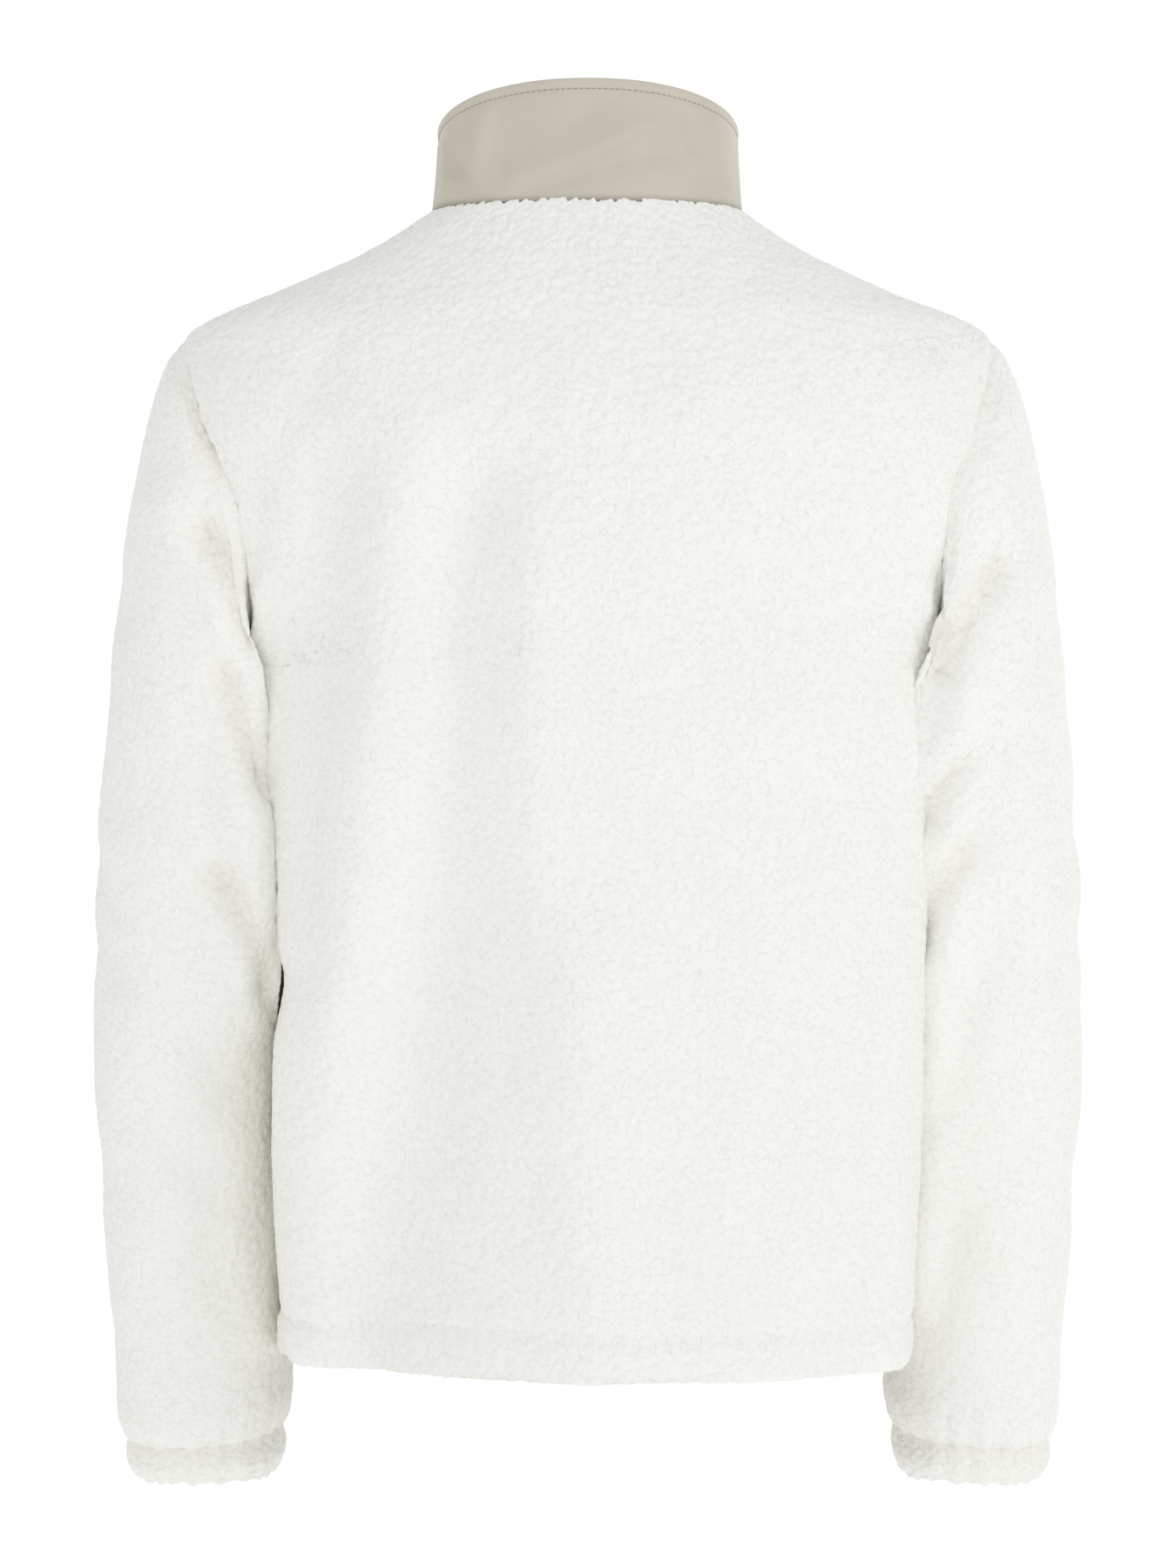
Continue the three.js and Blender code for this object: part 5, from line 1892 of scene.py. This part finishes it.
@dataclass
class Collar:
    """The woven stand collar, of two layers, stitched along its top edge."""

    middle_y: float = -18.0
    half_width: float = 87.0
    back: float = 73.0
    front: float = 72.5
    side_z: float = 48.5
    back_z: float = 68.5
    front_z: float = 12.0
    roundness: float = 0.92
    inset: float = 1.5
    wall: float = 2.5
    rows: int = 48
    columns: int = 320
    stitch_drop: float = 5.0
    stitch_groove: Pair = (0.6, 1.6)  # its depth and half width
    end_bulge: float = 0.8
    foot_shade: Pair = (0.65, 2.8)  # how dark the cloth is at the neck seam, and how far up
    back_folds: tuple[Fold, ...] = (
        Fold(40, 12, -28, 42, 7, 3.6, bow=-3, lean=0.4), Fold(30, 6, -50, 30, 8, -2.4, bow=2),
        Fold(62, 2, 86, 44, 6, -3.0, bow=2, lean=0.3), Fold(50, 8, 78, 24, 5, -1.7),
        Fold(66, 18, 58, 50, 6, 2.7), Fold(80, 14, 84, 40, 4, 2.4),
        Fold(-72, 8, -60, 44, 7, -2.1), Fold(-40, 38, -66, 24, 5, 1.4),
        Fold(10, 44, -8, 56, 6, -1.2),
    )
    front_folds: tuple[Fold, ...] = (
        Fold(-74, 16, -30, -10, 7, -2.8, bow=2), Fold(-60, -8, -20, -36, 7, 1.8),
        Fold(68, 14, 34, -22, 8, -2.7, bow=-2), Fold(48, 18, 16, -8, 7, 1.8),
        Fold(20, -16, 12, -46, 5, -1.5),
    )
    cut: Cut = Cut(0.53, 0.07, 0.0313)

    def top_point(self, angle: Array) -> Array:
        """Points of the collar's top edge.

        Args:
            angle: round the neck from the wearer's left, in radians.

        Returns:
            The points.
        """
        c, s = np.cos(angle), np.sin(angle)
        y = self.middle_y + np.where(s > 0, self.back, self.front) * s
        z = np.where(s > 0, mix(self.side_z, self.back_z, s),
                     mix(self.side_z, self.front_z, np.maximum(-s, 0) ** 1.5))
        return np.stack([self.half_width * signed_power(c, self.roundness), y, z], axis=-1)

    def flat_grid(self, panels: BodyPanels) -> Array:
        """The collar's rows, from the neck seam up.

        Args:
            panels: the back and fronts, whose top edges are the neck.

        Returns:
            Rows by columns by 3.
        """
        neck = np.concatenate([
            panels.front_grids[Side.LEFT][-1][::-1], panels.back_grid[-1][1:],
            panels.front_grids[Side.RIGHT][-1][1:],
        ])
        neck = evenly(neck, self.columns)
        on_zip = np.abs(neck[:, 0]) < ZIP_HALF_GAP + SEAM_GAP
        way = np.stack([np.where(on_zip, 0, -neck[:, 0]), self.middle_y - neck[:, 1],
                        np.zeros(len(neck))], axis=1)
        way /= np.linalg.norm(way, axis=1, keepdims=True)
        foot = neck + way * self.inset
        foot[:, 2] += SEAM_GAP
        reach = np.where(
            foot[:, 1] > self.middle_y,
            FORM.depth(Facing.BACK, BACK_NECK_Z) - self.middle_y,
            FORM.depth(Facing.FRONT, FRONT_NECK_Z) + self.middle_y,
        )
        angle = np.arctan2((foot[:, 1] - self.middle_y) / reach,
                           foot[:, 0] / FORM.reach(Side.LEFT, 0))
        last = math.acos(ZIP_HALF_GAP / self.half_width)
        angle[0], angle[-1] = -last, last - math.pi
        top = self.top_point(angle)
        t = np.linspace(0, 1, self.rows + 1)[:, None, None]
        return mix(foot[None], top[None], t)

    def build(self, panels: BodyPanels, woven: Material, thread: Material) -> list[Object]:
        """Builds the collar and its line of stitches.

        Args:
            panels: the back and fronts.
            woven: the cloth's finish.
            thread: the stitches'.

        Returns:
            The two pieces.
        """
        flat = self.flat_grid(panels)
        normal = grid_normals(flat, False, 1)
        up = running_length(flat, 0)
        drop = up[-1:] - up
        lift = facing_lift(self.back_folds, self.front_folds, flat, normal[..., 1])
        lift *= smoothstep(up, 0, 12) * smoothstep(drop, 2, 14)
        lift -= seam_groove(drop - self.stitch_drop, *self.stitch_groove)
        outer = flat + normal * lift[..., None]
        normal = grid_normals(outer, False, 1)
        inner = outer - normal * self.wall
        rim = Rim(high=self.wall / 2, first=self.end_bulge, last=self.end_bulge)
        # Painted shade along the neck seam, below the pile's edge.
        foot = seam_groove(up, *self.foot_shade)
        piece = Shell(outer, inner, False, rim, flat, np.zeros_like(foot), foot,
                      pile_inside=1.0).build("woven_collar")
        lines = [(self._at_stitches(outer, drop), self._at_stitches(normal, drop)),
                 (self._at_stitches(inner, drop), -self._at_stitches(normal, drop))]
        stitches = thread_line("collar_stitching", lines)
        dress(stitches, (), thread)
        dress(piece, ("collar",), woven)
        return [piece, stitches]

    def _at_stitches(self, grid: Array, drop: Array) -> Array:
        """Reads each column of a grid where the stitches lie, below the top edge.

        Args:
            grid: rows by columns by 3.
            drop: how far below the edge each point is.

        Returns:
            One row for each column.
        """
        at = np.array([self.stitch_drop])
        columns = zip(drop[::-1].T, np.moveaxis(grid[::-1], 1, 0))
        return np.concatenate([read_line(at, *column) for column in columns])

    def inside_at_zip(self, panels: BodyPanels, side: Side) -> Array:
        """The inner face of the collar beside the zip, its last column at the zip's edge.

        Args:
            panels: the back and fronts.
            side: the wearer's left or right.

        Returns:
            A grid of points.
        """
        flat = self.flat_grid(panels)
        inside = flat - grid_normals(flat, False, 1) * self.wall
        return inside[:, 10::-1] if side is Side.LEFT else inside[:, -11:]


@dataclass
class Zip:
    """The closed zip up the front: two tapes, moulded teeth, a box, a slider and its pull tab."""

    tape_reaches: tuple[float, ...] = (0.4, 3.2, 7.0, 11.0, 14.5)
    tape_wall: float = 1.0
    tape_slack: float = 0.5
    tooth_pitch: float = 3.0
    tooth_height: float = 1.32
    tooth_depth: float = 2.2
    tooth_reach: float = 2.9
    tooth_cross: float = 1.0
    chain_bottom: float = -642.7
    chain_top: float = -4.4
    box_bottom: float = -654.0
    box_half_width: float = 4.5
    slider_y: float = -91.978
    slider_z: float = -0.1407
    pull_thick: float = 1.2
    pull_y: float = -93.478
    tape_cut: Cut = Cut(0.0145, 0.671, 0.0095)
    face: Array | None = field(init=False, default=None)  # the tapes' front, in the middle

    def _lines(self, panels: BodyPanels, collar: Collar, side: Side) -> Array:
        """The rows that one side's tape lies on, up the inside of the front and the collar.

        Args:
            panels: the back and fronts.
            collar: the collar.
            side: the wearer's left or right.

        Returns:
            A row for each height, from the middle out.
        """
        front = panels.front_inside(side)[::2, -7:]
        stand = collar.inside_at_zip(panels, side)
        rows = [(row[-1], row[0]) for row in front]
        rows += [(row[-1], row[0]) for row in stand[4:-1:4]]
        rows.append(tuple(mix(stand[-1, k], stand[-2, k], 5 * 0.96) for k in (-1, 0)))
        found = []
        for edge, inside in rows:
            share = (np.array(self.tape_reaches) - abs(edge[0])) / (abs(inside[0]) - abs(edge[0]))
            line = mix(edge[None], inside[None], share[:, None])
            line[:, 0] = side.value * np.array(self.tape_reaches)
            line[:, 1] += self.tape_slack
            found.append(line)
        return np.stack(found)

    def build(self, panels: BodyPanels, collar: Collar, tape: Material, plastic: Material,
              metal: Material) -> list[Object]:
        """Builds all of the zip.

        Args:
            panels: the back and fronts.
            collar: the collar.
            tape: the tapes' finish.
            plastic: the teeth's and the box's.
            metal: the slider's and the pull tab's.

        Returns:
            The pieces.
        """
        made = []
        for side in Side:
            front = self._lines(panels, collar, side)
            back = front + np.array([0, self.tape_wall, 0])
            label = side.name.lower()
            piece = slab(f"zip_tape_{label}_cloth", front, back)
            made.append(dress(piece, (f"zip_tape_{label}",), tape))
            if side is Side.LEFT:
                self.face = front[:, 0]
        made.append(dress(self._teeth(), ("zip_chain",), plastic))
        made.append(dress(self._box(), ("zip_box",), plastic))
        made.append(dress(self._slider(), ("zip_slider",), metal))
        made.append(dress(self._pull(), ("zip_pull",), metal, body=PULL_BODY))
        return made

    def _face(self, z: Array | float) -> Array:
        """The depth of the tapes' front at a height, in the middle of the zip."""
        return np.interp(z, self.face[:, 2], self.face[:, 1])

    def _teeth(self) -> Object:
        """Builds the interlocked teeth.

        Returns:
            The teeth, as one object.
        """
        half_z, edge = self.tooth_height / 2, 0.28
        low, high = -self.tooth_cross, self.tooth_reach
        rings = []
        for y, shrink in ((0, 0), (-self.tooth_depth + edge, 0), (-self.tooth_depth, edge)):
            outline = [
                (low + shrink, -half_z * 0.75 + shrink / 2), (0.4, -half_z + shrink),
                (high - shrink, -half_z + shrink), (high - shrink, half_z - shrink),
                (0.4, half_z - shrink), (low + shrink, half_z * 0.75 - shrink / 2),
            ]
            rings.append([(x, y, z) for x, z in outline])
        template, quads = ringed(np.array(rings))
        places, axes = [], []
        for side in Side:
            start = self.chain_bottom + (1.0 if side is Side.LEFT else 1.0 + self.tooth_pitch / 2)
            z = np.arange(start, self.chain_top, self.tooth_pitch)
            y = self._face(z) - SEAM_GAP
            slope = self._face(z + 1) - self._face(z)
            up = np.stack([np.zeros_like(z), slope, np.ones_like(z)], axis=1)
            up /= np.linalg.norm(up, axis=1, keepdims=True)
            across = np.tile([side.value, 0.0, 0.0], (len(z), 1))
            back = np.cross(up, np.tile([1.0, 0.0, 0.0], (len(z), 1)))
            places.append(np.stack([np.zeros_like(z), y, z], axis=1))
            axes.append(np.stack([across, back, up], axis=1))
        vertices, faces = copies(template, quads, np.concatenate(places), np.concatenate(axes))
        right = np.arange(len(faces)) >= len(places[0]) * len(quads)
        faces[right] = faces[right][:, ::-1]
        if signed_volume(vertices, faces) < 0:
            faces = faces[:, ::-1]
        piece = link("zip_teeth", mesh_from("zip_teeth", vertices, faces))
        piece.data.shade_flat()
        return piece

    def _box(self) -> Object:
        """Builds the box at the bottom of the zip.

        Returns:
            The box.
        """
        w, top, bottom = self.box_half_width, self.chain_bottom - SEAM_GAP, self.box_bottom
        outline = (arc(w - 1.2, top - 1.2, 1.2, 90, 0) + arc(w - 1.2, bottom + 1.2, 1.2, 0, -90)
                   + arc(1.2 - w, bottom + 1.2, 1.2, 270, 180)
                   + arc(1.2 - w, top - 1.2, 1.2, 180, 90))
        plate, faces = rounded_plate([outline], 2.6, 0.5)
        ridge, ridge_faces = rounded_plate([[(-0.5, bottom + 2), (0.5, bottom + 2), (0.5, top - 1),
                                             (-0.5, top - 1)]], 0.8, 0.2)
        y = float(self._face((top + bottom) / 2)) - SEAM_GAP - 1.3
        plate[:, 1] += y
        ridge[:, 1] += y - 1.4
        return joined("zip_bottom_box", [(plate, faces), (ridge, ridge_faces)])

    def _slider(self) -> Object:
        """Builds the slider's two plates, the neck between them and the bridge for the pull.

        Returns:
            The slider.
        """
        outline = (arc(-2.6, 7.0, 2, 180, 90) + arc(2.6, 7.0, 2, 90, 0)
                   + [(4.6, 3.0)] + arc(2.6, -3.2, 0.8, 0, -90) + arc(-2.6, -3.2, 0.8, 270, 180)
                   + [(-4.6, 3.0)])
        parts = []
        for thick, y in ((1.3, 0.65), (1.1, 3.85)):
            points, faces = rounded_plate([outline], thick, 0.35)
            points[:, 1] += self.slider_y + y
            parts.append((points, faces))
        for x in (-3.9, 3.9):
            rail = [(x - 0.6, 3.2), (x + 0.6, 3.2), (x + 0.6, 7.4), (x - 0.6, 7.4)]
            points, faces = rounded_plate([rail], 2.4, 0.1)
            points[:, 1] += self.slider_y + 2.3
            parts.append((points, faces))
        neck, neck_faces = rounded_plate([arc(0, 7.6, 1.1, 0, 342, 20)], 2.4, 0.1)
        neck[:, 1] += self.slider_y + 2.3
        parts.append((neck, neck_faces))
        for points, _ in parts:
            points[:, 2] += self.slider_z
        outer = [(0.5, -1.0), (-1.8, -1.0)] + arc(-1.8, 0.2, 1.2, 270, 180)[1:]
        outer += arc(-1.8, 6.4, 1.2, 180, 90)
        outer += [(0.5, 7.6), (0.5, 6.4), (-1.8, 6.4), (-1.8, 0.2), (0.5, 0.2)]
        bridge, bridge_faces = rounded_plate([outer], 2.0, 0.3)
        turned = np.stack([bridge[:, 1], self.slider_y + bridge[:, 0],
                           bridge[:, 2] + self.slider_z], axis=1)
        parts.append((turned, bridge_faces))
        return joined("zip_slider_body", parts)

    def _pull(self) -> Object:
        """Builds the pull tab, which hangs from the bridge.

        Returns:
            The pull tab.
        """
        w, top, bottom = 3.6, 5.9, -18.7
        outline = ([(-w, top), (w, top), (w - 0.7, -6.6)] + arc(w - 2.6, bottom + 3, 3, 0, -90)
                   + arc(2.6 - w, bottom + 3, 3, 270, 180) + [(0.7 - w, -6.6)])
        slot = [(-1.5, 4.7), (-1.5, -2.6), (1.5, -2.6), (1.5, 4.7)]
        dent = (arc(1.0, -8.6, 0.8, 0, 90) + arc(-1.0, -8.6, 0.8, 90, 180)
                + arc(-1.0, -15.0, 0.8, 180, 270) + arc(1.0, -15.0, 0.8, 270, 360))
        points, faces = rounded_plate([outline, slot, dent], self.pull_thick, 0.25)
        web, web_faces = rounded_plate([dent], self.pull_thick - 0.5, 0.05)
        parts = [(points, faces), (web, web_faces)]
        for part, _ in parts:
            part[:, 1] += self.pull_y + self.pull_thick / 2
            part[:, 2] += self.slider_z
        return joined("zip_pull_tab", parts)


# ---------------------------------------------------------------- studio
class Light(NamedTuple):
    """A square soft light that faces the jacket, in metres and watts."""

    name: str
    place: Triple
    power: float


@dataclass(frozen=True)
class Studio:
    """A plain pale floor, soft light from the left of the jacket's back, and the camera."""

    camera_distance: float = 2.36
    camera_height: float = -0.3265
    frame_height: float = 0.900
    sensor_height: float = 24.0
    floor_z: float = -0.80
    floor_reach: float = 30.0
    floor_grey: float = 0.25
    floor_glow: Pair = (0.8, 0.86)  # as light on the jacket, and as it is seen
    soft_light: float = 0.64
    white: float = 1.05
    light_size: float = 1.3
    aim: Triple = (0, 0, -0.35)
    lights: tuple[Light, ...] = (
        Light("key", (-2.3, 1.6, 0.4), 12.5),
        Light("fill", (1.3, 2.4, 0.2), 6.2),
        Light("top", (0.0, 0.9, 2.0), 3.6),
        Light("front_key", (-1.9, -2.0, 0.5), 10.0),
        Light("front_fill", (1.4, -2.4, 0.3), 4.0),
    )

    def build(self) -> None:
        """Makes the floor, the lights and the camera."""
        self._floor()
        self._world()
        for light in self.lights:
            self._light(light)
        self._camera()

    def _floor(self) -> None:
        """Makes the floor, which is not part of the jacket."""
        turns = ((-1, -1), (1, -1), (1, 1), (-1, 1))
        corners = np.array([(self.floor_reach * x, self.floor_reach * y, self.floor_z)
                            for x, y in turns]) / MM
        floor = link("studio_floor", mesh_from("studio_floor", corners, np.array([[0, 1, 2, 3]])))
        finish = Finish("studio_floor", Roughness=1.0, Specular_IOR_Level=0.0,
                        Base_Color=(*[self.floor_grey] * 3, 1), Emission_Color=(1, 1, 1, 1))
        path = finish.tree.nodes.new("ShaderNodeLightPath").outputs["Is Camera Ray"]
        finish.link(range_node(finish.tree, path, 0, 1, *self.floor_glow), "Emission Strength")
        floor.data.materials.append(finish.material)

    def _world(self) -> None:
        """Lights the scene evenly and shows white behind it."""
        world = bpy.data.worlds.new("studio")
        world.use_nodes = True
        tree = world.node_tree
        soft = tree.nodes["Background"]
        soft.inputs["Color"].default_value = (1, 1, 1, 1)
        soft.inputs["Strength"].default_value = self.soft_light
        seen = add_node(tree, "ShaderNodeBackground", {
            "Color": (1, 1, 1, 1), "Strength": self.white,
        })
        path = tree.nodes.new("ShaderNodeLightPath")
        both = add_node(tree, "ShaderNodeMixShader", {
            0: path.outputs["Is Camera Ray"], 1: soft.outputs[0], 2: seen.outputs[0],
        })
        tree.links.new(both.outputs[0], tree.nodes["World Output"].inputs["Surface"])
        bpy.context.scene.world = world

    def _light(self, light: Light) -> None:
        """Adds a light.

        Args:
            light: its name, place and power.
        """
        data = bpy.data.lights.new(light.name, "AREA")
        data.size = self.light_size
        data.energy = light.power
        lamp = bpy.data.objects.new(light.name, data)
        lamp.location = light.place
        aim = Vector(self.aim) - Vector(light.place)
        lamp.rotation_euler = aim.to_track_quat("-Z", "Y").to_euler()
        bpy.context.scene.collection.objects.link(lamp)

    def _camera(self) -> None:
        """Adds a level camera behind the jacket."""
        data = bpy.data.cameras.new("camera")
        data.sensor_fit = "VERTICAL"
        data.sensor_height = self.sensor_height
        data.lens = data.sensor_height * self.camera_distance / self.frame_height
        data.clip_end = 100.0
        camera = bpy.data.objects.new("camera", data)
        camera.location = (0, self.camera_distance, self.camera_height)
        camera.rotation_euler = (math.pi / 2, 0, math.pi)
        bpy.context.scene.collection.objects.link(camera)
        bpy.context.scene.camera = camera


def main() -> None:
    """Builds the jacket and the studio in order."""
    logging.basicConfig(level=logging.INFO, format="%(name)s: %(message)s")
    scene = bpy.context.scene
    scene.view_settings.view_transform = "Standard"
    surface = PileGroup()
    sherpa, woven = SherpaFinish().make(surface), WovenFinish().make()
    band = SherpaFinish(name="sherpa_cuff", cream_share=0.3).make(surface)
    thread = WovenFinish("collar_thread", (0.36, 0.33, 0.265), (0.30, 0.275, 0.22)).make()
    relief = PileRelief()
    panels = BodyPanels()
    pieces = panels.build(relief, sherpa)
    for sleeve in (left_sleeve(), right_sleeve()):
        pieces += sleeve.build(relief, sherpa, band)
    collar = Collar()
    pieces += collar.build(panels, woven, thread)
    pieces += Zip().build(
        panels, collar, TapeFinish().make(),
        HardFinish("zip_teeth_plastic", (0.50, 0.465, 0.385), 0.0, 0.42).make(),
        HardFinish("zip_painted_metal", (0.46, 0.43, 0.36), 0.55, 0.36).make(),
    )
    for piece in pieces:
        triangles = sum(len(face.vertices) - 2 for face in piece.data.polygons)
        LOG.info("%s: %d triangles", piece.name, triangles)
    Studio().build()


if __name__ == "__main__":
    main()
